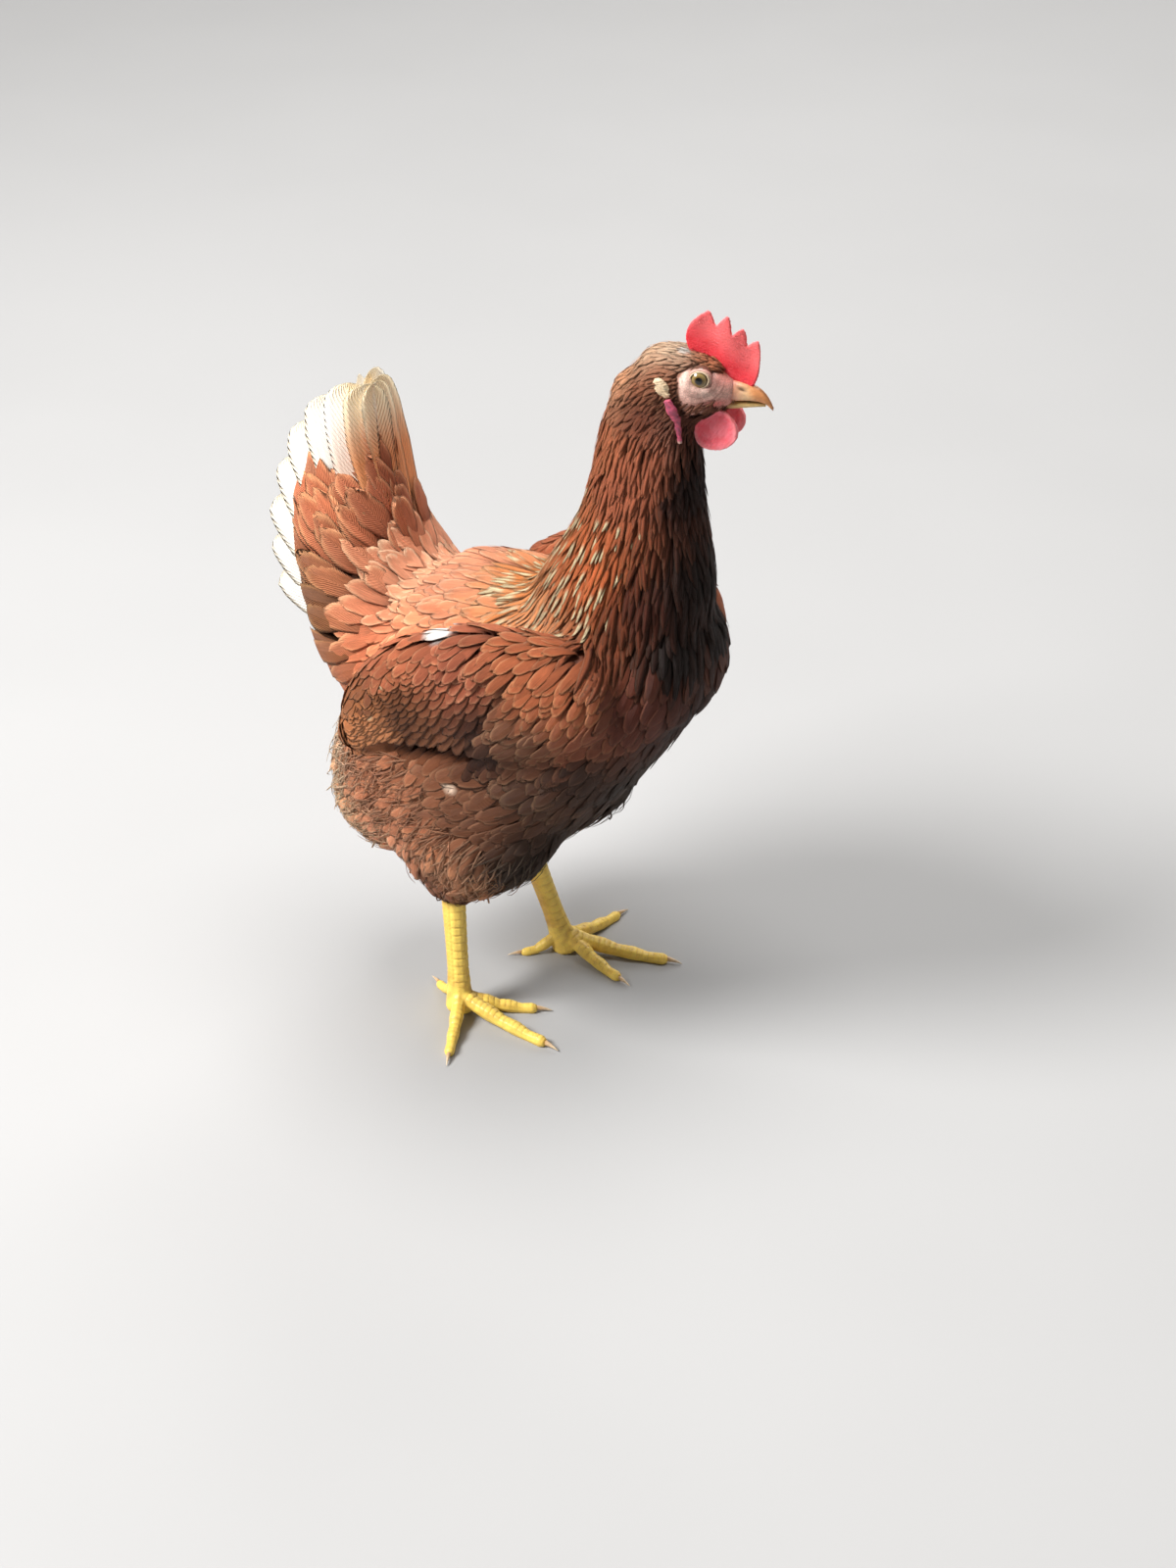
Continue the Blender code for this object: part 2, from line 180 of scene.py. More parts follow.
def mesh_object(name, verts, faces):
    """An object from an array of points and an array of faces that all have as many corners."""
    verts, faces = np.asarray(verts, np.float32), np.asarray(faces, np.int32)
    count, corners = faces.shape
    me = bpy.data.meshes.new(name)
    me.vertices.add(len(verts))
    me.vertices.foreach_set("co", verts.ravel())
    me.loops.add(count * corners)
    me.loops.foreach_set("vertex_index", faces.ravel())
    me.polygons.add(count)
    me.polygons.foreach_set("loop_start", np.arange(0, count * corners, corners, dtype=np.int32))
    me.update(calc_edges=True)
    shade_smooth(me)
    return linked(name, me)


def tube_faces(steps, ring):
    """Triangles of a closed tube of rings of points, one ring after another, with a fan over each end."""
    here = np.arange(steps - 1)[:, None] * ring + np.arange(ring)
    beside = np.arange(steps - 1)[:, None] * ring + (np.arange(ring) + 1) % ring
    strips = np.stack((here, here + ring, beside + ring, here, beside + ring, beside), -1).reshape(-1, 3)
    fan = np.array([(0, k, k + 1) for k in range(1, ring - 1)])
    return np.concatenate((strips, fan, fan[:, ::-1] + (steps - 1) * ring))


def facing_out(co, faces):
    """The faces of one closed shape, turned round if they point into it."""
    a, b, c = (co[faces[:, k]] - co[0] for k in range(3))
    return faces[:, ::-1] if np.einsum("ij,ij->i", a, np.cross(b, c)).sum() < 0 else faces


def read_all(items, field, width, kind=np.float32):
    """One field of every item in a collection, a row each."""
    values = np.empty(len(items) * width, kind)
    items.foreach_get(field, values)
    return values.reshape(-1, width)


def points_of(obj):
    return read_all(obj.data.vertices, "co", 3).astype(float)


def normals_of(obj):
    return read_all(obj.data.vertex_normals, "vector", 3).astype(float)


def edges_of(obj):
    return read_all(obj.data.edges, "vertices", 2, np.int32)


def set_points(obj, co):
    obj.data.vertices.foreach_set("co", np.asarray(co, np.float32).ravel())
    obj.data.update()


def smoothed(values, ends, rounds, share=0.5):
    """Each value moved towards the mean of its neighbours, some rounds over."""
    count = len(values)
    many = np.maximum(np.bincount(ends.ravel(), minlength=count), 1)[:, None]
    for _ in range(rounds):
        total = [np.bincount(ends[:, 0], column[ends[:, 1]], count)
                 + np.bincount(ends[:, 1], column[ends[:, 0]], count) for column in values.T]
        values = values + share * (np.stack(total, -1) / many - values)
    return values


def along_row(rows, share):
    """A table's values between its rows, at shares from 0, the first row, to 1, the last."""
    at, numbers = share * (len(rows) - 1), np.arange(len(rows))
    return np.stack([np.interp(at, numbers, column) for column in zip(*rows)], -1)


def chain(count):
    """The edges of an open line of points."""
    return np.stack((np.arange(count - 1), np.arange(1, count)), -1)


def relax(obj, rounds):
    set_points(obj, smoothed(points_of(obj), edges_of(obj), rounds))


def put_attribute(obj, name, kind, values):
    """A value for each vertex, read by the materials."""
    field = {"FLOAT_COLOR": "color", "FLOAT_VECTOR": "vector", "FLOAT": "value"}[kind]
    if kind == "FLOAT_COLOR":
        values = np.concatenate((values, np.ones((len(values), 1))), 1)
    layer = obj.data.attributes.new(name, kind, "POINT")
    layer.data.foreach_set(field, values.astype(np.float32).ravel())


def mesh_from(bm, name):
    me = bpy.data.meshes.new(name)
    bm.to_mesh(me)
    bm.free()
    return me


def remeshed(me, voxel, name):
    """The mesh made again as one closed skin of even faces."""
    obj = linked(name, me)
    mod = obj.modifiers.new("remesh", "REMESH")
    mod.mode, mod.voxel_size, mod.adaptivity = "VOXEL", voxel, 0
    new = bpy.data.meshes.new_from_object(obj.evaluated_get(bpy.context.evaluated_depsgraph_get()))
    new.name = name
    obj.modifiers.clear()
    obj.data = new
    bpy.data.meshes.remove(me)
    shade_smooth(new)
    return obj


def union_of(names, voxel, swell, name):
    """One closed mesh round the named nodes, each swollen a little so that the gaps between them close."""
    whole = bmesh.new()
    for node_name in names:
        part = bmesh.new()
        part.from_mesh(NODES[node_name].data)
        bmesh.ops.remove_doubles(part, verts=part.verts, dist=1e-6)
        bmesh.ops.recalc_face_normals(part, faces=part.faces)
        part.normal_update()
        for v in part.verts:
            v.co += v.normal * swell
        me = mesh_from(part, "part")
        whole.from_mesh(me)
        bpy.data.meshes.remove(me)
    return remeshed(mesh_from(whole, name), voxel, name)


def fine_copy(names, voxel, name, rounds, swell=0.0):
    """The named nodes as one finer, softer mesh."""
    obj = union_of(names, voxel, swell, name)
    relax(obj, rounds)
    return obj


def wave_noise(points, scale, seed):
    """A smooth noise of unit size made of a few turned sine waves."""
    rng = np.random.default_rng(seed)
    octaves = 7
    total = np.zeros(len(points))
    for octave in range(octaves):
        axis = unit(rng.normal(0, 1, 3))
        total += np.sin(points @ axis * scale * (1 + 0.45 * octave) + rng.random() * 6.3)
    return total / octaves**0.5


def grainy(obj, size, scale, seed):
    """Raises and sinks the surface by a smooth noise of the given size."""
    co = points_of(obj)
    set_points(obj, co + normals_of(obj) * (size * wave_noise(co, scale, seed))[:, None])


# ---------------------------------------------------------------- materials


class Look:
    """A Principled material and short calls for its nodes. An input takes a number, a colour or a socket."""

    def __init__(self, name):
        self.material = bpy.data.materials.new(name)
        self.material.use_nodes = True
        self.tree = self.material.node_tree
        self.tree.nodes.clear()
        self.shader = self.node("BsdfPrincipled")
        self.node("OutputMaterial", {0: self.shader.outputs[0]})

    def put(self, socket, value):
        if isinstance(value, bpy.types.NodeSocket):
            self.tree.links.new(value, socket)
        else:
            socket.default_value = (*value, 1) if socket.type == "RGBA" else value

    def node(self, kind, inputs=None, **settings):
        made = self.tree.nodes.new("ShaderNode" + kind)
        for key, value in settings.items():
            setattr(made, key, value)
        for key, value in (inputs or {}).items():
            self.put(made.inputs[key], value)
        return made

    def attribute(self, name, output="Color"):
        return self.node("Attribute", attribute_name=name).outputs[output]

    def parts(self, name):
        """The three numbers of a vector attribute."""
        return self.node("SeparateXYZ", {0: self.attribute(name, "Vector")}).outputs

    def math(self, operation, a, b=0.0, c=0.0):
        return self.node("Math", {0: a, 1: b, 2: c}, operation=operation).outputs[0]

    def times(self, a, b):
        return self.math("MULTIPLY", a, b)

    def times_plus(self, a, b, c):
        return self.math("MULTIPLY_ADD", a, b, c)

    def ramp(self, value, low, high, to_low=0.0, to_high=1.0):
        inputs = {"Value": value, "From Min": low, "From Max": high, "To Min": to_low, "To Max": to_high}
        return self.node("MapRange", inputs, interpolation_type="SMOOTHSTEP").outputs[0]

    def mix(self, share, a, b, blend="MIX"):
        return self.node("Mix", {0: share, 6: a, 7: b}, data_type="RGBA", blend_type=blend).outputs[2]

    def shaded(self, colour, shade):
        """The colour times a number."""
        grey = self.node("CombineColor", {0: shade, 1: shade, 2: shade}).outputs[0]
        return self.mix(1.0, colour, grey, "MULTIPLY")

    def place(self):
        return self.node("TexCoord").outputs["Object"]

    def noise(self, scale, detail=3.0, rough=0.55, vector=None):
        inputs = {"Scale": scale, "Detail": detail, "Roughness": rough, "Vector": vector or self.place()}
        return self.node("TexNoise", inputs).outputs[0]

    def cells(self, scale, feature="F1"):
        return self.node("TexVoronoi", {"Scale": scale, "Vector": self.place()}, feature=feature).outputs[0]

    def finished(self, colour, roughness, height=None, depth=0.0, strength=1.0, fixed=()):
        """The material with its colour, roughness, bump and fixed values in place."""
        for key, value in {"Base Color": colour, "Roughness": roughness, **dict(fixed)}.items():
            self.put(self.shader.inputs[key], value)
        if height is not None:
            made = self.node("Bump", {"Height": height, "Distance": depth, "Strength": strength})
            self.put(self.shader.inputs["Normal"], made.outputs[0])
        return self.material


def feather_material():
    """Vanes: their core colour runs to a paler rim, with shafts, barbs, and a foot darkened for its down and
    as painted shade.
    """
    look = Look("feather")
    core = look.attribute("core")
    across, along, chance = look.parts("vane")
    streak, paleness, aspect = look.parts("mark")
    side = look.math("ABSOLUTE", across)
    # The rim follows the sides near the end and the round of the tip.
    reach = look.times_plus(look.math("POWER", along, 6.0), 0.9, look.math("POWER", side, 2.0))
    reach = look.times(reach, look.ramp(along, 0.25, 0.7, 0.15, 1.0))
    edge = look.ramp(look.times_plus(look.noise(900.0, 2.0), 0.45, reach), 0.55, 1.35)
    colour = look.mix(look.times(edge, 0.62), core, look.attribute("rim"))
    # A pale streak along the shaft of some hackles.
    late = look.times(look.ramp(along, 0.62, 0.78), look.ramp(along, 1.0, 0.96))
    pale = look.times(look.times(look.ramp(side, 0.85, 0.45), late), streak)
    colour = look.mix(pale, colour, linear((246, 224, 178)))
    # Barbs: fine lines that slant from the shaft to the edge.
    slant = look.math("SUBTRACT", look.times(along, aspect), look.times(side, 0.9))
    barb = look.math("SINE", look.times(slant, 48.0))
    strands = {0: look.times(across, 8.0), 1: look.times(along, 1.6), 2: look.times(chance, 60.0)}
    streaks = look.noise(2.2, 3.0, 0.6, look.node("CombineXYZ", strands).outputs[0])
    shade = look.times_plus(barb, 0.07, look.ramp(streaks, 0.25, 0.75, 0.76, 1.32))
    shade = look.times(shade, look.times_plus(chance, 0.36, 0.82))
    # Darker towards the foot: the down there, and painted shade where the feathers lie over each other.
    shade = look.times(shade, look.ramp(along, 0.0, 0.55, 0.62, 1.0))
    shade = look.times(shade, look.times_plus(look.noise(260.0), 0.22, 0.89))
    shaft = look.ramp(side, 0.09, 0.03, 0.0, 0.16)
    shade = look.times_plus(shaft, paleness, shade)
    # White feathers show less of this.
    shown = look.times_plus(look.node("SeparateColor", {0: core}).outputs[1], -0.72, 1.0)
    shade = look.times_plus(look.math("SUBTRACT", shade, 1.0), shown, 1.0)
    return look.finished(
        look.shaded(colour, shade), look.times_plus(barb, 0.05, 0.58), look.times_plus(shaft, 5.0, barb),
        0.2 * MM, 0.9, {"Specular IOR Level": 0.14, "Sheen Weight": 0.04, "Sheen Roughness": 0.4,
                        "Sheen Tint": (1.0, 0.86, 0.74)})


def skin_material():
    """The coat's colour darkened under the feathers as painted shade, and bare wrinkled skin on the face."""
    look = Look("skin")
    tone = look.noise(420.0, 4.0)
    # Under the feathers the coat's colour is darkened by a noise: painted shade in the gaps between them.
    coat = look.shaded(look.attribute("core"), look.times_plus(look.noise(700.0, 4.0), 0.5, 0.25))
    flesh = look.mix(look.ramp(tone, 0.35, 0.7, 0.0, 0.45), look.attribute("flush"), linear((158, 98, 88)))
    # The wrinkles' creases darken the bare skin as painted shade, and sink it in the bump.
    creases = look.ramp(look.cells(900.0, "DISTANCE_TO_EDGE"), 0.0, 0.16, 0.72, 1.0)
    colour = look.mix(look.attribute("bare", "Fac"), coat, look.shaded(flesh, creases))
    return look.finished(
        colour, look.ramp(tone, 0.3, 0.7, 0.5, 0.72), look.times_plus(look.noise(1500.0), 0.4, creases),
        0.22 * MM, 0.7, {"Subsurface Weight": 0.08, "Subsurface Radius": (0.004, 0.0015, 0.001),
                         "Subsurface Scale": 0.6})


def red_material(name, base, deep, pale, grain):
    """Comb and wattle skin: warm red with fine raised papillae."""
    look = Look(name)
    grit = look.cells(grain)
    colour = look.mix(look.ramp(look.noise(170.0, 4.0), 0.35, 0.72), linear(base), linear(deep))
    colour = look.mix(look.ramp(grit, 0.45, 0.1, 0.0, 0.35), colour, linear(pale))
    colour = look.mix(look.times(look.attribute("tip", "Fac"), 0.45), colour, linear(pale))
    height = look.times_plus(look.noise(900.0), 0.5, look.math("SUBTRACT", 1.0, grit))
    return look.finished(
        colour, look.ramp(grit, 0.0, 0.6, 0.42, 0.62), height, 0.3 * MM, 0.8,
        {"Subsurface Weight": 0.25, "Subsurface Radius": (0.006, 0.0012, 0.0008), "Subsurface Scale": 0.5,
         "Specular IOR Level": 0.4})


def tinted_material(name, low, high, roughness, scale, bump_size, fixed=()):
    """A surface whose colours come from the 'tint' attribute, broken by two noises."""
    look = Look(name)
    fine = look.noise(scale * 5)
    shade = look.ramp(look.noise(scale, 4.0), 0.3, 0.7, low, high)
    shade = look.times(shade, look.ramp(fine, 0.3, 0.7, 0.93, 1.05))
    rough = look.ramp(fine, 0.3, 0.7, roughness - 0.08, roughness + 0.08)
    return look.finished(look.shaded(look.attribute("tint"), shade), rough, fine, bump_size, 0.6, fixed)


def wear(obj, mat, slot, *replaced):
    """Gives a piece its material and body, and hides the nodes that it stands for. slot is not used."""
    obj.data.materials.clear()
    obj.data.materials.append(mat)
    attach(obj, "root")
    if replaced:
        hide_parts(*replaced)


def wear_tinted(obj, colours, mat, slot, *replaced):
    """Gives a piece its 'tint' colours, one for all of it or one for each vertex, and its looks."""
    put_attribute(obj, "tint", "FLOAT_COLOR", np.broadcast_to(colours, (len(obj.data.vertices), 3)))
    wear(obj, mat, slot, *replaced)


# ---------------------------------------------------------------- the coat's table

# The lines of each tract: place in body axes, with the second number outwards from the middle plane; lie of
# the feathers there; length, width and gap between roots in mm; core and rim colours; point (0 rounded tip
# to 1 lance); fluff (0 firm to 1 down); streak; paleness of the shaft.
# The near-black rows down the neck's front, over the breast's front and the belly and on the thigh's front
# are darker than these feathers' own brown: painted shade of the parts that face away from the key light.
COAT = {"head": (
    ((.108, .003, .387), (-.9, .2, .3), 5.3, 2, 1, (207, 127, 90), (252, 182, 138), .5, .1, 0, 0),
    ((.093, .004, .392), (-1, .1, .05), 6.4, 2.2, 1.2, (252, 222, 192), (252, 232, 210), .5, .1, 0, 0),
    ((.080, .004, .392), (-1, .1, -.12), 7.5, 2.3, 1.2, (252, 208, 172), (252, 224, 196), .5, .1, 0, 0),
    ((.068, .004, .380), (-.7, .1, -.7), 8.6, 2.5, 1.4, (238, 172, 130), (250, 204, 166), .5, .1, 0, 0),
    ((.104, .013, .388), (-.95, .2, .1), 5.1, 1.7, 0.9, (88, 48, 38), (118, 70, 54), .5, .1, 0, 0),
    ((.090, .017, .386), (-.95, .2, -.2), 6.4, 2.1, 1.1, (190, 121, 91), (231, 168, 132), .5, .1, 0, 0),
    ((.078, .019, .380), (-.8, .2, -.6), 7.6, 2.3, 1.2, (161, 94, 67), (207, 138, 99), .5, .1, 0, 0),
    ((.091, .019, .376), (-.8, .2, -.6), 5.3, 1.5, 0.9, (123, 77, 53), (165, 114, 84), .8, .2, 0, 0),
    ((.083, .019, .366), (-.45, .2, -.9), 8.6, 2.3, 1.3, (130, 71, 52), (162, 99, 71), .5, .1, 0, 0),
    ((.098, .015, .362), (-.5, .1, -.85), 4.6, 1.4, 0.9, (133, 84, 70), (177, 122, 102), .6, .3, 0, 0),
    ((.103, .005, .352), (-.4, 0, -.9), 6.3, 2, 1.1, (92, 55, 42), (128, 86, 66), .6, .3, 0, 0),
), "neck": (
    ((.058, .006, .350), (-.30, .05, -.95), 16, 2.6, 1.8, (202, 118, 80), (251, 169, 118), .7, .1, .05, .2),
    ((.078, .022, .340), (-.14, .02, -1), 17, 2.6, 1.8, (190, 108, 78), (238, 146, 108), .7, .1, 0, .1),
    # The neck's front, here and in its rows below: near black as painted shade.
    ((.099, .006, .335), (0, 0, -1), 14, 2.8, 1.8, (38, 16, 11), (52, 27, 18), .6, .1, 0, 0),
    ((.047, .006, .315), (-.35, .05, -.93), 26, 3.2, 2.2, (184, 106, 63), (240, 184, 125), .8, .1, .9, .5),
    ((.070, .030, .302), (-.22, .1, -1), 28, 3.2, 2.2, (216, 114, 68), (252, 161, 100), .8, .1, .6, .2),
    ((.104, .008, .295), (-.02, 0, -1), 24, 3.9, 2.6, (27, 11, 6), (37, 17, 10), .5, .1, 0, 0),
    ((.092, .026, .292), (-.1, .05, -1), 27, 3.5, 2.4, (83, 40, 28), (110, 61, 43), .7, .1, 0, 0),
    ((.018, .008, .272), (-.75, .15, -.5), 38, 3.8, 2.5, (210, 128, 69), (252, 214, 158), .8, .1, .9, .6),
    ((.044, .040, .266), (-.45, .25, -.85), 38, 3.8, 2.5, (252, 175, 122), (252, 240, 210), .8, .1, .7, .5),
    ((.074, .046, .262), (-.22, .2, -.95), 34, 4, 2.6, (129, 65, 42), (163, 99, 66), .8, .1, 0, .1),
    ((.104, .016, .262), (-.05, .1, -1), 27, 5.4, 3.3, (24, 9, 6), (32, 15, 10), .3, .1, 0, 0),
), "trunk": (
    ((.095, .030, .235), (-.3, .25, -.95), 23.9, 8.3, 4.1, (86, 44, 34), (118, 74, 57), 0, .1, 0, 0),
    # This row, and the near-black ones of the breast and belly further on, are painted shade.
    ((.115, .010, .215), (-.1, .1, -1), 23, 8.3, 4.1, (38, 18, 14), (53, 32, 26), 0, .1, 0, 0),
    ((.080, .052, .222), (-.5, .25, -.8), 24.8, 8.6, 4.1, (132, 75, 53), (170, 115, 86), 0, .1, 0, 0),
    ((.060, .058, .178), (-.75, .1, -.62), 25.8, 8.9, 4.3, (78, 51, 38), (110, 86, 66), 0, .1, 0, 0),
    ((.095, .020, .170), (-.6, .1, -.75), 23.9, 8.9, 4.3, (23, 17, 13), (34, 27, 21), 0, .1, 0, 0),
    ((.030, .020, .110), (-.95, .05, -.25), 23.9, 8.3, 4.3, (22, 16, 12), (30, 23, 19), 0, .4, 0, 0),
    ((.035, .062, .160), (-.85, .1, -.5), 26.7, 8.3, 4.3, (108, 68, 47), (142, 101, 76), 0, .2, 0, 0),
    ((.045, .045, .262), (-.8, .3, -.5), 25.8, 6.1, 3.4, (196, 118, 72), (224, 156, 108), .3, .1, .1, .3),
    ((.020, .020, .268), (-.95, .2, -.25), 27.6, 6.4, 3.5, (212, 144, 100), (240, 190, 148), .2, .1, .1, .3),
    ((-.005, .020, .262), (-1, .1, -.05), 27.6, 7.7, 3.9, (194, 128, 100), (224, 172, 146), .1, .1, 0, .1),
    ((-.005, .058, .245), (-.9, .2, -.42), 27.6, 7.7, 4, (216, 130, 92), (252, 190, 148), 0, .1, 0, .1),
    ((-.045, .020, .250), (-.8, .1, .35), 29.4, 8.3, 4.1, (224, 157, 125), (252, 217, 183), 0, .1, 0, 0),
    ((-.045, .055, .225), (-.92, .2, -.3), 29.4, 8.9, 4.4, (207, 121, 87), (252, 181, 134), 0, .1, 0, 0),
    ((-.080, .048, .195), (-.72, .15, -.7), 26.7, 8.9, 4.4, (172, 109, 79), (230, 169, 130), 0, .1, 0, 0),
    ((-.098, .020, .150), (-.85, .15, -.45), 27, 4.6, 3.1, (252, 199, 159), (252, 247, 214), .8, 1, 0, 0),
    ((-.085, .030, .115), (-.8, .1, -.6), 27, 4.6, 3.1, (252, 186, 140), (252, 242, 194), .8, .9, 0, 0),
    ((-.060, .020, .085), (-.7, .1, -.6), 26, 4.6, 3.1, (162, 114, 87), (196, 156, 125), .8, .8, 0, 0),
    ((-.030, .064, .150), (-.7, .1, -.65), 25.8, 6, 3.6, (186, 120, 88), (222, 162, 124), .5, .5, 0, 0),
    ((.083, .045, .196), (-.6, .15, -.75), 25, 8.8, 4.3, (54, 34, 25), (78, 55, 42), 0, .1, 0, 0),
    ((.052, .036, .135), (-.85, .05, -.5), 25, 8.6, 4.3, (42, 29, 21), (58, 43, 33), 0, .2, 0, 0),
), "thigh": (
    ((.008, .060, .112), (-.45, .05, -.9), 23, 6, 3.9, (190, 132, 98), (228, 178, 142), .7, .6, 0, 0),
    ((.000, .066, .150), (-.6, .1, -.8), 27, 6, 3.9, (180, 114, 82), (216, 152, 116), .7, .6, 0, 0),
    ((-.045, .055, .120), (-.75, .1, -.65), 27, 6, 3.9, (229, 157, 121), (252, 226, 184), .7, .8, 0, 0),
    # The thigh's front: near black as painted shade.
    ((.040, .045, .125), (-.5, .1, -.85), 25, 6, 3.9, (46, 32, 24), (64, 48, 38), .7, .4, 0, 0),
    ((-.014, .045, .095), (-.35, .05, -.95), 20, 6, 3.9, (150, 92, 65), (198, 143, 109), .7, .7, 0, 0),
    ((-.018, .030, .074), (-.12, 0, -1), 11, 4.2, 2.6, (98, 54, 38), (122, 76, 54), .7, .4, 0, 0),
), "tail": (
    ((-.062, .012, .275), (-.30, .05, .95), 34, 12, 6.2, (158, 92, 68), (204, 136, 100), 0, .1, 0, 0),
    ((-.085, .035, .255), (-.62, .05, .78), 38, 15.1, 6.8, (173, 100, 70), (222, 160, 116), 0, .1, 0, 0),
    ((-.085, .045, .220), (-.95, .1, .08), 36, 15.1, 6.8, (102, 67, 42), (142, 108, 71), 0, .1, 0, 0),
    ((-.100, .035, .190), (-.78, .1, -.6), 31, 14.3, 6.5, (142, 86, 60), (197, 149, 110), 0, .1, 0, 0),
    ((-.115, .010, .205), (-.9, 0, -.1), 31, 13.3, 6.2, (194, 128, 92), (235, 183, 143), 0, .4, 0, 0),
    ((-.128, .006, .275), (-.25, 0, .96), 19, 12.2, 6.3, (232, 208, 178), (250, 240, 222), .2, .6, 0, .3),
    ((-.075, .008, .300), (-.28, 0, .95), 22, 12.2, 6.3, (150, 92, 62), (178, 118, 84), 0, .1, 0, 0),
), "wing": (
    ((.052, .062, .215), (-.72, .1, -.62), 22.4, 7.2, 3.7, (114, 74, 53), (152, 117, 91), 0, .1, 0, 0),
    ((.066, .055, .248), (-.55, .1, -.83), 18.3, 5.9, 3.2, (166, 94, 62), (200, 140, 100), 0, .1, 0, .1),
    ((.020, .080, .238), (-.42, .05, -.9), 18.3, 5.9, 3.3, (152, 85, 63), (204, 141, 110), 0, .1, 0, .1),
    ((-.010, .075, .245), (-.6, .05, -.8), 19.7, 5.9, 3.3, (174, 100, 70), (211, 146, 107), 0, .1, 0, .1),
    ((.035, .075, .200), (-.3, 0, -.95), 23.2, 6.5, 4, (43, 21, 13), (61, 33, 21), 0, .1, 0, .1),
    ((-.045, .065, .185), (-.6, 0, -.8), 25.8, 7.2, 4, (174, 110, 69), (206, 144, 100), 0, .1, 0, .2),
    ((-.020, .072, .190), (-.45, 0, -.9), 25.8, 7.2, 4, (90, 52, 30), (111, 71, 45), 0, .1, 0, .2),
)}
COLUMNS = ("lie", "length", "width", "gap", "core", "rim", "point", "fluff", "streak", "shaft")
COLUMN_ENDS = np.cumsum((3, 1, 1, 1, 3, 3, 1, 1, 1, 1))
COAT_REACH = 7 * MM  # the distance at which a line of the table starts to lose its hold
COAT_RICHNESS = np.array((1.20, 1.12, 1.04))  # the coat's linear colours over those of the table


def coat_row(lie, length, width, gap, core, rim, *rest):
    """One line of the table as plain numbers."""
    sizes = (length * MM, width * MM, gap * MM)
    colours = (*(linear(core) * COAT_RICHNESS), *(linear(rim) * COAT_RICHNESS))
    return (*unit(np.array(lie, float)), *sizes, *colours, *rest)


COAT_OWNERS = [TRACTS.index(tract) for tract, lines in COAT.items() for _line in lines]
COAT_PLACES = np.array([line[0] for lines in COAT.values() for line in lines])
COAT_VALUES = np.array([coat_row(*line[1:]) for lines in COAT.values() for line in lines])


def coat_at(places, shares):
    """The coat's values at body-axis places, given each place's share in every tract."""
    half = places.copy()
    half[:, 1] = np.abs(half[:, 1])
    apart = ((half[:, None, :] - COAT_PLACES) ** 2).sum(-1)
    hold = shares[:, COAT_OWNERS] / (apart + COAT_REACH**2) ** 2
    values = (hold / hold.sum(1, keepdims=True)) @ COAT_VALUES
    return dict(zip(COLUMNS, np.split(values, COLUMN_ENDS[:-1], axis=1)))


# ---------------------------------------------------------------- the skin

SKIN_VOXEL = 2 * MM
BEAK_TAPER = 2.4 * MM  # how much thinner the flesh is where it meets the beak
TRACT_BLEND = 5 * MM  # how far tracts run into each other
TRACT_FAR = 50 * MM  # solids farther off than this have no share
CROWN_DROP = 4.2 * MM
CROWN_AHEAD, CROWN_UP = (-0.0130, 0.0105), (0.0120, 0.0100)  # middle and half size
EYE_AHEAD, EYE_UP = 0.0228, 0.0121  # the eye's place in the head's axes


def tract_shares(points):
    """How much each point belongs to each tract, from its distance to the tract's solids."""
    shares = np.zeros((len(points), len(TRACTS)))
    for t, names in enumerate(FLESH.values()):
        nearest = np.full(len(points), TRACT_FAR)
        for name in names:
            me = NODES[name].data
            tree = BVHTree.FromPolygons([v.co[:] for v in me.vertices], [p.vertices[:] for p in me.polygons])
            for i, p in enumerate(points):
                found = tree.find_nearest(Vector(p), TRACT_FAR)
                if found[0] is not None and found[3] < nearest[i]:
                    nearest[i] = found[3]
        shares[:, t] = np.exp(-np.maximum(nearest - 1 * MM, 0) / TRACT_BLEND * 2)
    return shares / shares.sum(1, keepdims=True)


def nearest_rows(points, known):
    """For each point, the index of the closest known one."""
    tree = KDTree(len(known))
    for i, p in enumerate(known):
        tree.insert(p, i)
    tree.balance()
    return np.array([tree.find(p)[1] for p in points])


def inside_of(outline, x, z):
    """Signed distance from points to a closed outline, above 0 inside it."""
    corners = np.array(outline)
    following = np.roll(corners, -1, axis=0)
    nearest, crossings = np.full(len(x), 1.0), np.zeros(len(x), int)
    for (ax, az), (bx, bz) in zip(corners, following):
        share = ((x - ax) * (bx - ax) + (z - az) * (bz - az)) / ((bx - ax) ** 2 + (bz - az) ** 2)
        share = np.clip(share, 0, 1)
        nearest = np.minimum(nearest, np.hypot(x - ax - share * (bx - ax), z - az - share * (bz - az)))
        if az != bz:
            over = (az > z) != (bz > z)
            crossings += over & (x < ax + (z - az) / (bz - az) * (bx - ax))
    return np.where(crossings % 2 == 1, nearest, -nearest)


# The bare face in the head's own axes (forward, up), from behind the eye along the brow to the beak.
FACE = ((.0138, .0128), (.0158, .0150), (.0205, .0164), (.0262, .0156), (.0300, .0134), (.0350, .0112),
        (.0460, .0105), (.0460, -.0075), (.0330, -.0070), (.0290, -.0042), (.0240, -.0044),
        (.0186, -.0056), (.0165, -.0015), (.0150, .0050))


def bare_share(points):
    """1 on the bare face round the eye, 0 under the coat. Points are in body axes, the head straightened."""
    q = points - HEAD_PIVOT
    return smoothstep(-0.7 * MM, 0.7 * MM, inside_of(FACE, q[:, 0], q[:, 2]))


# A softened copy of the flesh solids, drawn in by the coat's depth.
outer_skin = union_of(FLESH_NODES, SKIN_VOXEL, 0.6 * MM, "outer")
outer = points_of(outer_skin)
shares = tract_shares(outer)
ends = edges_of(outer_skin)
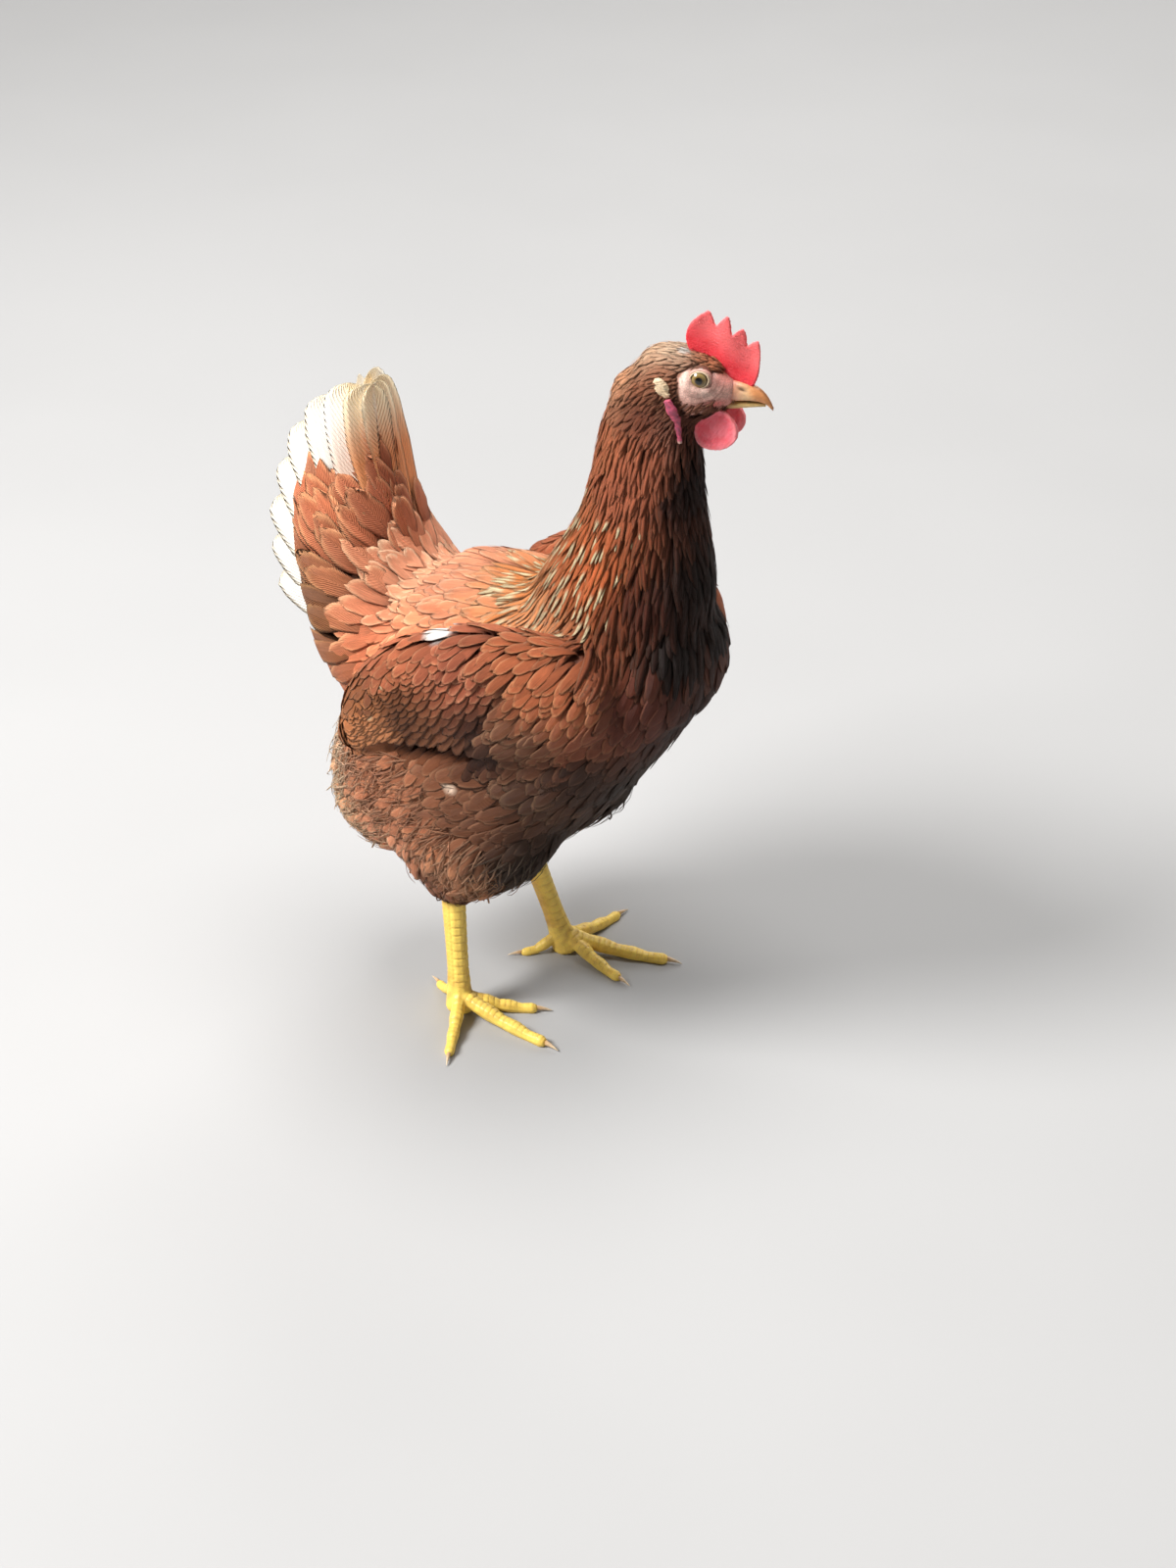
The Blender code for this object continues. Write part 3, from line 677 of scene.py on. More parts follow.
# The body's seams soften; the head keeps its form.
keep = np.clip(shares[:, HEAD : HEAD + 1] * 1.2, 0, 1)
formed = smoothed(outer, ends, 14) * (1 - keep) + smoothed(outer, ends, 3) * keep
set_points(outer_skin, formed)
formed_body = straightened(formed)
depth = shares @ COAT_DEPTHS * (1 - bare_share(formed_body))
x_here, _y_here, z_here = (formed_body - HEAD_PIVOT).T
# The flesh tapers onto the beak.
depth += BEAK_TAPER * smoothstep(0.027, 0.037, x_here) * keep[:, 0]
# The crown slopes down behind into the nape.
depth += CROWN_DROP * bell(x_here, *CROWN_AHEAD) * bell(z_here, *CROWN_UP)
inwards = unit(smoothed(normals_of(outer_skin), ends, 3))
set_points(outer_skin, formed - inwards * depth[:, None])
skin = remeshed(outer_skin.data, SKIN_VOXEL, "skin")
relax(skin, 2)


def refine_head(obj):
    """Three times finer faces over the head, so that lids and folds are in the mesh."""
    bm = bmesh.new()
    bm.from_mesh(obj.data)
    low, rear = HEAD_PIVOT[2] - 0.020, HEAD_PIVOT[0] - 0.005
    near = [e for e in bm.edges if all(v.co.z > low and v.co.x > rear for v in e.verts)]
    bmesh.ops.subdivide_edges(bm, edges=near, cuts=2, use_grid_fill=True, smooth=0.0)
    bmesh.ops.triangulate(bm, faces=bm.faces)
    bm.to_mesh(obj.data)
    bm.free()
    obj.data.update()
    shade_smooth(obj.data)


refine_head(skin)
relax(skin, 2)
skin_ends = edges_of(skin)
skin_points = points_of(skin)
skin_shares = smoothed(shares[nearest_rows(skin_points, outer)], skin_ends, 3)
skin_body = straightened(skin_points)
coat = coat_at(skin_body, skin_shares)
skin_bare = bare_share(skin_body)
skin_normals = normals_of(skin)
soft_normals = unit(smoothed(skin_normals, skin_ends, 4))


def shape_face():
    """How far the face stands out: a low mound that holds the eye, with folds round it."""
    q = skin_body - HEAD_PIVOT
    from_eye = np.hypot(q[:, 0] - EYE_AHEAD, (q[:, 2] - EYE_UP) * 1.1)
    side = smoothstep(0.006, 0.011, np.abs(q[:, 1]))
    mound = 1.5 * MM * bell(from_eye, 0.0048, 0.0030) * smoothstep(0.0135, 0.0095, from_eye)
    groove = -0.4 * MM * bell(from_eye, 0.0088, 0.0008)
    ridges = 0.2 * MM * np.sin(from_eye * 4200) * smoothstep(0.0085, 0.0105, from_eye)
    return (mound + (groove + ridges) * skin_bare) * side


skin_points = skin_points + skin_normals * shape_face()[:, None]
set_points(skin, skin_points)
skin.data.calc_loop_triangles()
SKIN_TRIS = read_all(skin.data.loop_triangles, "vertices", 3, np.int32)
SKIN_TREE = BVHTree.FromPolygons(points_of(skin).tolist(), SKIN_TRIS.tolist())
tri_normals = unit(soft_normals[SKIN_TRIS].mean(1))


def unwrap(obj):
    """An unwrap of the skin's own shape, in the map named OFBake."""
    obj.data.uv_layers.new(name="OFBake")
    bpy.ops.object.select_all(action="DESELECT")
    obj.select_set(True)
    bpy.context.view_layer.objects.active = obj
    bpy.ops.object.mode_set(mode="EDIT")
    bpy.ops.mesh.select_all(action="SELECT")
    bpy.ops.uv.smart_project(angle_limit=1.15, island_margin=0.004, scale_to_bounds=True)
    bpy.ops.object.mode_set(mode="OBJECT")
    return read_all(obj.data.uv_layers["OFBake"].data, "uv", 2)


FACE_UV = unwrap(skin).reshape(-1, 3, 2)  # every face of the skin is a triangle


def on_skin(points):
    """The closest point of the skin to each point, its soft normal there and its triangle."""
    places, rows = np.empty_like(points), np.empty(len(points), int)
    for i, p in enumerate(points):
        found = SKIN_TREE.find_nearest(Vector(p))
        places[i], rows[i] = found[0], found[2]
    return places, tri_normals[rows], rows


def root_uv(rows):
    """Where the OFBake map holds the middle of each of these triangles."""
    return FACE_UV[rows].mean(1)


# ---------------------------------------------------------------- roots of the scattered coat

# How many places are tried. Far fewer stay, because each keeps its gap from the next.
COAT_TRIES, QUICK_TRIES, DOWN_TRIES = 130000, 70000, 30000


def scatter(tries, gap_at, wanted_at=None):
    """Roots over the skin, each its place's gap or more from the next. wanted_at leaves out vertices at 0."""
    corners = skin_points[SKIN_TRIS]
    area = np.linalg.norm(np.cross(corners[:, 1] - corners[:, 0], corners[:, 2] - corners[:, 0]), axis=1) / 2
    gap = gap_at[SKIN_TRIS].mean(1)
    weight = area / gap**2
    if wanted_at is not None:
        weight = weight * wanted_at[SKIN_TRIS].min(1)
    rows = RNG.choice(len(SKIN_TRIS), tries, p=weight / weight.sum())
    a, b = RNG.random((2, tries))
    a, b = np.where(a + b > 1, (1 - a, 1 - b), (a, b))
    share = np.stack((1 - a - b, a, b), -1)[..., None]
    places = (corners[rows] * share).sum(1)
    wanted = gap[rows]
    tree = KDTree(tries)
    for i, p in enumerate(places):
        tree.insert(p, i)
    tree.balance()
    free, chosen = np.ones(tries, bool), []
    for i in range(tries):
        if free[i]:
            chosen.append(i)
            for _place, j, _far in tree.find_range(places[i], wanted[i]):
                free[j] = False
    chosen = np.array(chosen)
    return places[chosen], rows[chosen], share[chosen]


def values_at(tri, share):
    """The coat's values at places on the skin's triangles."""
    return {key: (table[SKIN_TRIS[tri]] * share).sum(1) for key, table in coat.items()}


# Soft marks of the coat: place and reach in body axes, colour. They cross whole feathers.
SPOTS = (
    (np.array((.0000, -.0640, .2480)), np.array((.0110, .0120, .0070)), (252, 246, 238)),
    (np.array((.0058, -.0687, .1625)), np.array((.0050, .0070, .0032)), (244, 212, 186)),
    (turned(np.array((.0132, -.0030, .0215)), HEAD_TURN) + HEAD_PIVOT, np.full(3, .0034), (255, 244, 230)),
)


def spotted(colours, points):
    """The colours with the marks laid over them."""
    for place, reach, colour in SPOTS:
        share = smoothstep(1.0, 0.6, np.linalg.norm((points - SHIFT - place) / reach, axis=1))[:, None]
        colours = blended(colours, linear(colour), share)
    return colours


# ---------------------------------------------------------------- vanes

# Cross-sections of a vane, as a closed ring: places across (-1 to 1) and heights (1 is the upper face).
RING_FINE = np.array(((-1, 0), (-.74, .6), (-.4, .9), (0, 1), (.4, .9), (.74, .6), (1, 0),
                      (.74, -.6), (.4, -.9), (0, -1), (-.4, -.9), (-.74, -.6)))
RING_PLAIN = np.array(((-1, 0), (-.4, .9), (.4, .9), (1, 0), (.4, -.9), (-.4, -.9)))
RING_TINY = np.array(((-1, 0), (0, 1), (1, 0), (0, -1)))
# Stations along a vane, with its half widths there as a rounded feather and as a hackle, and fewer stations
# for a short vane.
LONG = np.array((0, .12, .28, .45, .62, .77, .88, .955, 1.0))
ROUND = np.array((.20, .42, .70, .90, 1.0, .97, .82, .58, .22))
LANCE = np.array((.34, .60, .84, 1.0, .94, .76, .50, .28, .06))
SHORT = np.array((0, .2, .45, .7, .88, 1.0))
RISE_BOW = 0.32  # how soon a feather rises to its full height
COAT_CLING, DOWN_CLING = 0.85, 0.75  # how closely a feather follows the skin
UV_PATCH = 3 * MM  # the side of a feather's patch in the OFBake map


def profile(stations, point):
    """Half widths at the stations, from the rounded to the lance form."""
    rounded = np.interp(stations, LONG, ROUND)
    lance = np.interp(stations, LONG, LANCE)
    return rounded * (1 - point[:, None]) + lance * point[:, None]


def march(root, normal, lie, length, stations, lift, rise, cling):
    """Centre lines and upward directions of feathers that start at the roots and follow the skin."""
    count, steps = len(root), len(stations)
    lines, ups = np.zeros((count, steps, 3)), np.zeros((count, steps, 3))
    p, n, d = root.copy(), normal.copy(), tangent(lie, normal)
    for k in range(steps):
        if k:
            q = p + d * (length * (stations[k] - stations[k - 1]))[:, None]
            near, near_normal, _rows = on_skin(q)
            above = dot(q - near, near_normal)
            q = np.where(above > 0, q - (q - near) * cling, near)
            n = unit(n * (1 - 0.75 * cling) + near_normal * 0.75 * cling)
            d = unit(d * 0.35 + unit(q - p) * 0.65)
            d = tangent(d, n)
            p = q
        height = lift + rise * stations[k] ** RISE_BOW
        lines[:, k], ups[:, k] = p + n * height[:, None], n
    return lines, ups


def vanes(name, lines, ups, half_width, widths, thick, camber, values, uv, ring, stations, ragged=None,
          patch=UV_PATCH, fringe=0.0, roll=0.0):
    """Joins closed vanes along the lines into one mesh, with the coat's colours and the OFBake map."""
    count, steps, _ = lines.shape
    along = unit(np.gradient(lines, axis=1))
    across = unit(np.cross(along, ups))
    up = np.cross(across, along)
    tilt = np.broadcast_to(roll, (count,))[:, None, None]
    across, up = across * np.cos(tilt) + up * np.sin(tilt), up * np.cos(tilt) - across * np.sin(tilt)
    x, z = ring[:, 0], ring[:, 1]
    rings = len(ring)
    half = half_width[:, None] * widths
    if ragged is None:
        ragged = 1 + RNG.normal(0, 0.05, (count, steps, 2))
    lean = np.where(x[None, None, :] < 0, ragged[:, :, :1], ragged[:, :, 1:])
    out = half[:, :, None] * x * lean
    fade = np.minimum(1, 0.35 + 3 * (1 - stations)) * np.minimum(1, 0.5 + 3 * stations)
    high = np.reshape(thick, (-1, 1, 1)) * fade[None, :, None] * z - camber * half[:, :, None] * x**2
    co = lines[:, :, None] + across[:, :, None] * out[..., None] + up[:, :, None] * high[..., None]
    # Barbs end unevenly: each place across the vane has its own reach at the tip.
    _columns, column = np.unique(x, return_inverse=True)
    teeth = RNG.uniform(-1, 0.7, (count, column.max() + 1))[:, column] * np.reshape(fringe, (-1, 1))
    reach = smoothstep(0.72, 1.0, stations)[None, :, None] * teeth[:, None, :]
    co = co + along[:, :, None] * reach[..., None]
    faces = facing_out(co[0].reshape(-1, 3), tube_faces(steps, rings))
    all_faces = (faces[None] + np.arange(count)[:, None, None] * steps * rings).reshape(-1, 3)
    obj = mesh_object(name, co.reshape(-1, 3), all_faces)
    t = np.broadcast_to(stations[None, :, None], (count, steps, rings))
    xs = np.broadcast_to(x, (count, steps, rings))
    chance = np.broadcast_to(RNG.random(count)[:, None, None], (count, steps, rings))
    length = np.linalg.norm(np.diff(lines, axis=1), axis=2).sum(1)
    aspect = length / (2 * half_width)

    def spread(v):
        v = np.asarray(v)
        if v.ndim == 4:
            return v.reshape(-1, 3)
        return np.broadcast_to(v[:, None, None, :], (count, steps, rings, 3)).reshape(-1, 3)

    put_attribute(obj, "vane", "FLOAT_VECTOR", np.stack((xs, t, chance), -1).reshape(-1, 3))
    for key in ("core", "rim"):
        put_attribute(obj, key, "FLOAT_COLOR", spotted(spread(values[key]), co.reshape(-1, 3)))
    mark = np.stack((values["streak"].ravel(), values["shaft"].ravel(), aspect), -1)
    put_attribute(obj, "mark", "FLOAT_VECTOR", spread(mark))
    at = uv[:, None, None, :] + patch * np.stack((xs * 0.5, t - 0.5), -1)
    layer = obj.data.uv_layers.new(name="OFBake")
    layer.data.foreach_set("uv", at.reshape(-1, 2)[all_faces.ravel()].astype(np.float32).ravel())
    return obj


FEATHER = feather_material()


def coat_piece(*shape, **more):
    wear(vanes(*shape, **more), FEATHER, "plumage")


def shaken(lie, normal, spread):
    """The lie of each feather turned a little to one side or the other."""
    angle = RNG.normal(0, spread, len(lie))[:, None]
    side = np.cross(normal, lie)
    return unit(lie * np.cos(angle) + side * np.sin(angle))


def world_lie(values, places):
    """The table's lie, mirrored on the hen's right and turned with the head."""
    lie = values["lie"].copy()
    body = straightened(places)
    lie[:, 1] *= np.sign(body[:, 1])
    return unit(turned(lie, HEAD_TURN * head_share(places - SHIFT)))


roots, root_tri, root_share = scatter(COAT_TRIES, coat["gap"][:, 0])
values = values_at(root_tri, root_share)
root_body = straightened(roots)
root_normal = tri_normals[root_tri]
root_tract = (skin_shares[SKIN_TRIS[root_tri]] * root_share).sum(1)
tract_of = root_tract.argmax(1)
bare_here = (skin_bare[SKIN_TRIS[root_tri]] * root_share[..., 0]).sum(1)

# The wing's outline in body axes (x, z): its lower edge from the front to the wing's tip, and its upper
# edge over the same stations.
WING_LOW = ((.056, .201), (.040, .192), (.018, .187), (-.006, .185),
            (-.028, .179), (-.047, .170), (-.062, .162))
WING_HIGH = ((.066, .244), (.048, .246), (.026, .244), (.003, .237),
             (-.018, .223), (-.038, .204), (-.058, .180))
# The breast's feathers lap over the wing's front; behind this line the wing has rows of its own.
WING_FRONT = (0.030, 0.55)
behind = root_body[:, 0] < WING_FRONT[0] + WING_FRONT[1] * (root_body[:, 2] - 0.195)
wing_top = np.interp(root_body[:, 0], [x for x, _z in WING_HIGH[::-1]], [z for _x, z in WING_HIGH[::-1]])
is_wing = (root_tract[:, WING] > 0.6) & (np.abs(root_normal[:, 1]) > 0.25) & behind
is_wing &= root_body[:, 2] < wing_top
is_rectrix = (tract_of == TAIL) & (root_body[:, 2] > 0.270 + 0.10 * (root_body[:, 0] + 0.085))
is_rectrix &= (np.abs(root_normal[:, 1]) > 0.72) | (root_body[:, 2] > 0.300)
# Short feathers close the gap between the two fans of quills.
under_tips = (root_body[:, 2] > 0.284) & (root_body[:, 0] < -0.088)
values["length"][(tract_of == TAIL) & under_tips] *= 0.55
# Small bristles thin out over the lower face.
bristles = smoothstep(0.0050, -0.0040, root_body[:, 2] - HEAD_PIVOT[2]) * 0.35
keep_root = ((bare_here < 0.5) | (RNG.random(len(roots)) < bristles)) & ~is_wing & ~is_rectrix


def grown(mask, name, ring, stations, thick, camber, spread):
    """One coat piece from the roots under the mask."""
    picked = np.flatnonzero(mask & keep_root)
    own = {key: table[picked] for key, table in values.items()}
    count = len(picked)
    length = own["length"][:, 0] * RNG.normal(1, 0.09, count)
    half = own["width"][:, 0] / 2 * RNG.normal(1, 0.07, count)
    depth_here = root_tract[picked] @ COAT_DEPTHS
    # Feathers of the breast stand clear of the wing that they lap over.
    lap = 1.6 * MM * root_tract[picked, WING] * (root_body[picked, 0] > 0.02)
    lift = 0.1 * depth_here + lap * 0.5
    tousled = RNG.exponential(0.25 * MM, count) * root_tract[picked, HEAD] * (bare_here[picked] < 0.02)
    rise = depth_here * RNG.normal(0.88, 0.07, count) + lap * 0.5 + tousled
    lie = shaken(world_lie(own, roots[picked]), root_normal[picked], spread)
    lines, ups = march(roots[picked], root_normal[picked], lie, length, stations, lift, rise, COAT_CLING)
    fluff = own["fluff"][:, 0]
    ragged = 1 + RNG.normal(0, 1, (count, len(stations), 2)) * (0.04 + 0.22 * fluff)[:, None, None]
    own["streak"] = np.where(RNG.random((count, 1)) < 0.82 * own["streak"] - 0.08, 1.0, 0.0)
    # Down waves a little.
    wave = RNG.normal(0, 1, (count, 1, 3)) * np.sin(stations * 2.4)[None, :, None]
    lines = lines + wave * (fluff * 1.3 * MM)[:, None, None]
    widths = profile(stations, own["point"][:, 0])
    thickness = thick * (0.6 + 0.3 * RNG.random(count))
    roll = RNG.normal(0, 0.06, count)
    coat_piece(name, lines, ups, half, widths, thickness, camber, own, root_uv(root_tri[picked]), ring,
               stations, ragged, fringe=half * (0.34 + 0.5 * fluff), roll=roll)


def in_tract(name):
    return tract_of == TRACTS.index(name)


# The pieces of the coat part at these places.
front, right_half = root_body[:, 0] > 0.045, root_body[:, 1] < 0
high_up, upper_neck = root_body[:, 2] > 0.190, root_body[:, 2] > 0.300
grown(in_tract("head"), "coat_head", RING_TINY, SHORT, 0.09 * MM, 0.05, 0.16)
grown(in_tract("neck") & upper_neck, "coat_neck_upper", RING_TINY, LONG, 0.16 * MM, 0.06, 0.11)
grown(in_tract("neck") & ~upper_neck, "coat_neck_cape", RING_TINY, LONG, 0.18 * MM, 0.06, 0.10)
grown(in_tract("trunk") & front, "coat_breast", RING_FINE, LONG, 0.16 * MM, 0.03, 0.11)
for half_name, half in (("right", right_half), ("left", ~right_half)):
    rest = in_tract("trunk") & ~front & half
    grown(rest & high_up, "coat_back_" + half_name, RING_FINE, LONG, 0.16 * MM, 0.03, 0.12)
    grown(rest & ~high_up, "coat_belly_" + half_name, RING_FINE, LONG, 0.16 * MM, 0.03, 0.12)
    grown(in_tract("thigh") & half, "coat_thigh_" + half_name, RING_PLAIN, LONG, 0.18 * MM, 0.05, 0.24)
grown(in_tract("tail"), "coat_tail_coverts", RING_FINE, LONG, 0.22 * MM, 0.03, 0.10)
grown(in_tract("wing"), "coat_wing_edges", RING_FINE, LONG, 0.20 * MM, 0.03, 0.10)

DOWN_GAP = 2.0 * MM
DOWN_LIFT = 1.5 * MM
PALE_DOWN = linear((252, 228, 198))


def down():
    """Thin strands over the thighs and the rear, which soften the coat's edge."""
    fluffy = np.clip((coat["fluff"][:, 0] - 0.38) / 0.1, 0, 1) * (skin_bare < 0.1)
    fluffy = fluffy * (skin_shares[:, TAIL] < 0.3)
    places, tri, share = scatter(DOWN_TRIES, np.full(len(skin_points), DOWN_GAP), fluffy)
    own = values_at(tri, share)
    count = len(places)
    length = own["length"][:, 0] * RNG.uniform(0.55, 0.95, count)
    normal = tri_normals[tri]
    lie = shaken(world_lie(own, places), normal, 0.34)
    stands = 0.15 + 0.85 * smoothstep(-0.045, -0.085, straightened(places)[:, 0])
    rise = (RNG.normal(1.0, 0.12, count) + stands * RNG.exponential(0.16, count)) * COAT_DEPTH["thigh"]
    lines, ups = march(places, normal, lie, length, SHORT, DOWN_LIFT, rise - DOWN_LIFT, DOWN_CLING)
    lines = lines + RNG.normal(0, 1, (count, 1, 3)) * (np.sin(SHORT * 2.6) * 0.9 * MM)[None, :, None]
    colour = blended(own["core"], own["rim"], RNG.uniform(0, 0.6, (count, 1)))
    own["core"] = own["rim"] = blended(colour, PALE_DOWN, 0.55 * stands[:, None])
    own["streak"] = own["shaft"] = np.zeros((count, 1))
    half = RNG.uniform(0.30, 0.62, count) * MM
    widths = profile(SHORT, np.full(count, 0.9))
    right = places[:, 1] < SHIFT[1]
    for half_name, picked in (("right", right), ("left", ~right)):
        mine = {key: table[picked] for key, table in own.items()}
        coat_piece("coat_down_" + half_name, lines[picked], ups[picked], half[picked], widths[picked],
                   0.16 * MM, 0.0, mine, root_uv(tri[picked]), RING_TINY, SHORT)


down()


# ---------------------------------------------------------------- the folded wings

# How the wing's feathers lie at the front and at the tip (x, z).
WING_LIE = ((-.28, -.96), (-.63, -.78))
# Rows from the quills up to the shoulder: height of the tips up the wing (0 low edge, 1 high edge), length
# and width in mm, how many, lift over the skin in mm, and how pale the row's shafts are (times 0.25).
WING_ROWS = (
    (0.00, 64, 11.5, 17, 0.9, 1.0),
    (0.10, 58, 11.0, 17, 1.3, 0.9),
    (0.22, 40, 10.5, 18, 1.7, 0.5),
    (0.32, 30, 10.0, 18, 2.0, 0.2),
    (0.42, 26, 9.5, 18, 2.2, 0.1),
    (0.51, 24, 9.2, 18, 2.4, 0.0),
    (0.60, 23, 9.0, 18, 2.6, 0.0),
    (0.69, 22, 9.0, 17, 2.8, 0.0),
    (0.78, 22, 9.0, 16, 3.0, 0.0),
    (0.87, 22, 9.0, 15, 3.2, 0.0),
    (0.96, 22, 9.0, 14, 3.3, 0.0),
)
WING_ROLL = 0.13  # each feather's leading edge lies on the one before it
INWARD_LIMIT = 0.22  # how steeply a wing feather may turn in towards the body


def wing_place(xz, side):
    """The skin's outer face of one wing at a body-axis (x, z), or the nearest skin where it has none."""
    places, rows = np.empty((len(xz), 3)), np.empty(len(xz), int)
    missed = np.zeros(len(xz), bool)
    inwards = Vector((0, -side, 0))
    for i, (x, z) in enumerate(xz):
        start = Vector((x + SHIFT[0], side * 0.2 + SHIFT[1], z))
        hit = SKIN_TREE.ray_cast(start, inwards)
        missed[i] = hit[0] is None or (hit[0].y - SHIFT[1]) * side < 0.045 and z > 0.2
        if missed[i]:
            near = SKIN_TREE.find_nearest(Vector((x + SHIFT[0], side * 0.066 + SHIFT[1], min(z, 0.256))))
            places[i], rows[i] = near[0], near[2]
        else:
            places[i], rows[i] = hit[0], hit[2]
    return places, rows, missed


def wing_lines(roots_xz, lie, long, side, heights):
    """Straight feathers as seen from the side, lying on the wing's outer face."""
    count, steps = len(roots_xz), len(LONG)
    at = roots_xz[:, None] + lie[:, None] * (long[:, None] * LONG)[..., None]
    places, rows, missed = wing_place(at.reshape(-1, 2), side)
    places = places.reshape(count, steps, 3)
    rows, missed = rows.reshape(count, steps), missed.reshape(count, steps)
    normals = tri_normals[rows]
    out = (places[..., 1] - SHIFT[1]) * side
    for k in range(1, steps):
        least = out[:, k - 1] - INWARD_LIMIT * long * (LONG[k] - LONG[k - 1])
        turning = out[:, k] < least
        out[:, k] = np.maximum(out[:, k], least)
        normals[:, k] = np.where(turning[:, None], normals[:, k - 1], normals[:, k])
    out[:, 1:-1] = (out[:, :-2] + out[:, 1:-1] * 2 + out[:, 2:]) / 4
    normals = unit(normals + normals.mean(1, keepdims=True) * 1.5)
    up = np.where(missed, np.minimum(places[..., 2], at[..., 1]), at[..., 1])
    lines = np.stack((at[..., 0] + SHIFT[0], out * side + SHIFT[1], up), -1)
    high = 0.4 * MM + heights[:, None] * (0.25 + 0.75 * LONG**0.4)
    return lines + normals * high[..., None], normals, rows


def wing(side_name, side):
    """All rows of one folded wing, as one piece."""
    made = []
    for r, (tip_height, length, width, count, lift, quill) in enumerate(WING_ROWS):
        at = 0.10 + 0.90 * (np.arange(count) + (0.5 if r % 2 else 0.15)) / count
        at = np.clip(at + RNG.normal(0, 0.006, count), 0, 1)
        high = tip_height + RNG.normal(0, 0.010, count)
        low_edge, high_edge = along_row(WING_LOW, at), along_row(WING_HIGH, at)
        tips = low_edge * (1 - high)[:, None] + high_edge * high[:, None]
        turn = RNG.normal(0, 0.03, count)[:, None]
        lie = along_row(WING_LIE, at)
        lie = unit(lie + lie[:, ::-1] * (-1, 1) * turn)
        long = length * (1 + (0.35 * at if r < 2 else 0.10 * at)) * MM
        # No feather starts far above the wing's upper edge.
        long = np.minimum(long, (high_edge[:, 1] - tips[:, 1]) / -lie[:, 1] + 5 * MM)
        heights = lift * MM * (0.85 + 0.25 * at)
        lines, ups, rows = wing_lines(tips - lie * long[:, None], lie, long, side, heights)
        tip_places, _rows, _missed = wing_place(tips, side)
        wing_only = np.zeros((count, len(TRACTS)))
        wing_only[:, WING] = 1
        own = coat_at(straightened(tip_places), wing_only)
        own["shaft"] = np.full((count, 1), 0.25 * quill)
        own["streak"] = np.where(RNG.random((count, 1)) < (0.015 if r >= 2 else 0.0), 0.5, 0.0)
        half = width / 2 * MM * RNG.normal(1, 0.05, count)
        made.append((lines, ups, half, profile(LONG, np.full(count, 0.05)), own, root_uv(rows[:, 0])))
    lines, ups, half, widths = (np.concatenate([m[k] for m in made]) for k in range(4))
    own = {key: np.concatenate([m[4][key] for m in made]) for key in made[0][4]}
    uv = np.concatenate([m[5] for m in made])
    coat_piece("wing_feathers_" + side_name, lines, ups, half, widths, 0.22 * MM, 0.04, own, uv, RING_FINE,
               LONG, fringe=half * 0.26, roll=side * WING_ROLL)


for side_name, side in SIDES.items():
    wing(side_name, side)

# ---------------------------------------------------------------- tail quills

# One side of the tail from the ridge down: root (x, out, z) and tip (x, out, z) in body axes, half width.
QUILLS = (
    ((-.055, .0035, .224), (-.0905, .0042, .3295), .0128),
    ((-.058, .006, .222), (-.0965, .007, .3300), .0130),
    ((-.060, .008, .220), (-.1070, .011, .3225), .0135),
    ((-.062, .011, .217), (-.1155, .016, .3085), .0140),
    ((-.064, .014, .214), (-.1210, .021, .2900), .0140),
    ((-.066, .017, .211), (-.1245, .026, .2700), .0140),
    ((-.068, .020, .208), (-.1245, .030, .2500), .0135),
    ((-.070, .022, .205), (-.1215, .033, .2310), .0125),
)
RIDGE_QUILL = ((-.053, .0000, .226), (-.0885, .0000, .3290), .0118)
# How far each quill's face turns from the side to the front. The left ones lie under the right ones at the
# ridge.
QUILL_FACING = {"right": np.radians((64, 42, 33, 28, 24, 20, 16, 12)),
                "left": np.radians((92, 84, 62, 40, 28, 20, 16, 12))}
QUILL_STATIONS = np.array((0, .08, .18, .30, .42, .54, .66, .76, .84, .90, .945, .975, .992, 1.0))
QUILL_WIDTHS = np.array((.22, .34, .48, .62, .74, .85, .94, .99, 1.0, .98, .88, .66, .40, .10))
QUILL_RING = np.array(
    ((-1, 0), (-.75, .6), (-.4, .9), (-.08, 1.1), (.08, 1.1), (.4, .9), (.75, .6), (1, 0),
     (.75, -.6), (.4, -.9), (0, -1.1), (-.4, -.9), (-.75, -.6))
)
QUILL_PATCH = 30 * MM  # the side of a quill's patch in the OFBake map
WHITE, CREAM, BUFF = linear((246, 241, 230)), linear((244, 218, 172)), linear((244, 204, 160))
RUFOUS, TAN = linear((226, 150, 100)), linear((254, 232, 196))


def quill_colours(place, across, along):
    """Core colour over one quill's face. across is -1 on the leading edge, which is the upper one."""
    edge = smoothstep(0.72, 1.0, np.abs(across))
    tip = smoothstep(0.90, 1.0, along)
    foot = 1 - smoothstep(0.28, 0.62, along)
    leading = (across < 0.05) * 1.0
    colour = np.broadcast_to(WHITE, (*across.shape, 3)).copy()

    def lay(over, share):
        colour[:] = blended(colour, over, share[..., None])

    if place == 0:
        # The pair over the ridge is tan with a white streak, and brown in its lower half.
        lay(TAN, np.abs(across) > 0.22)
        lay(RUFOUS, 1 - smoothstep(0.66, 0.92, along))
        lay(CREAM, tip * 0.7)
    elif place == 1:
        # The top quill is tan on its leading web and white on its trailing one.
        lay(TAN, leading * 0.9)
        lay(BUFF, leading * (1 - smoothstep(0.55, 0.85, along)))
        lay(RUFOUS, (1 - smoothstep(0.62, 0.90, along)) * (0.45 + 0.55 * leading))
        lay(CREAM, tip * 0.7)
    else:
        lay(CREAM, np.maximum(edge, tip) * 0.5)
        lay(BUFF, foot * (0.5 + 0.5 * leading) * (0.95 if place < 6 else 0.6))
        if place in (2, 3, 4):
            lay(BUFF, (across < -0.05) * (1 - smoothstep(0.62, 0.90, along)) * 0.8)
            lay(RUFOUS, (across < -0.05) * (1 - smoothstep(0.56, 0.84, along)) * 0.75)
    return np.clip(colour, 0, 1)


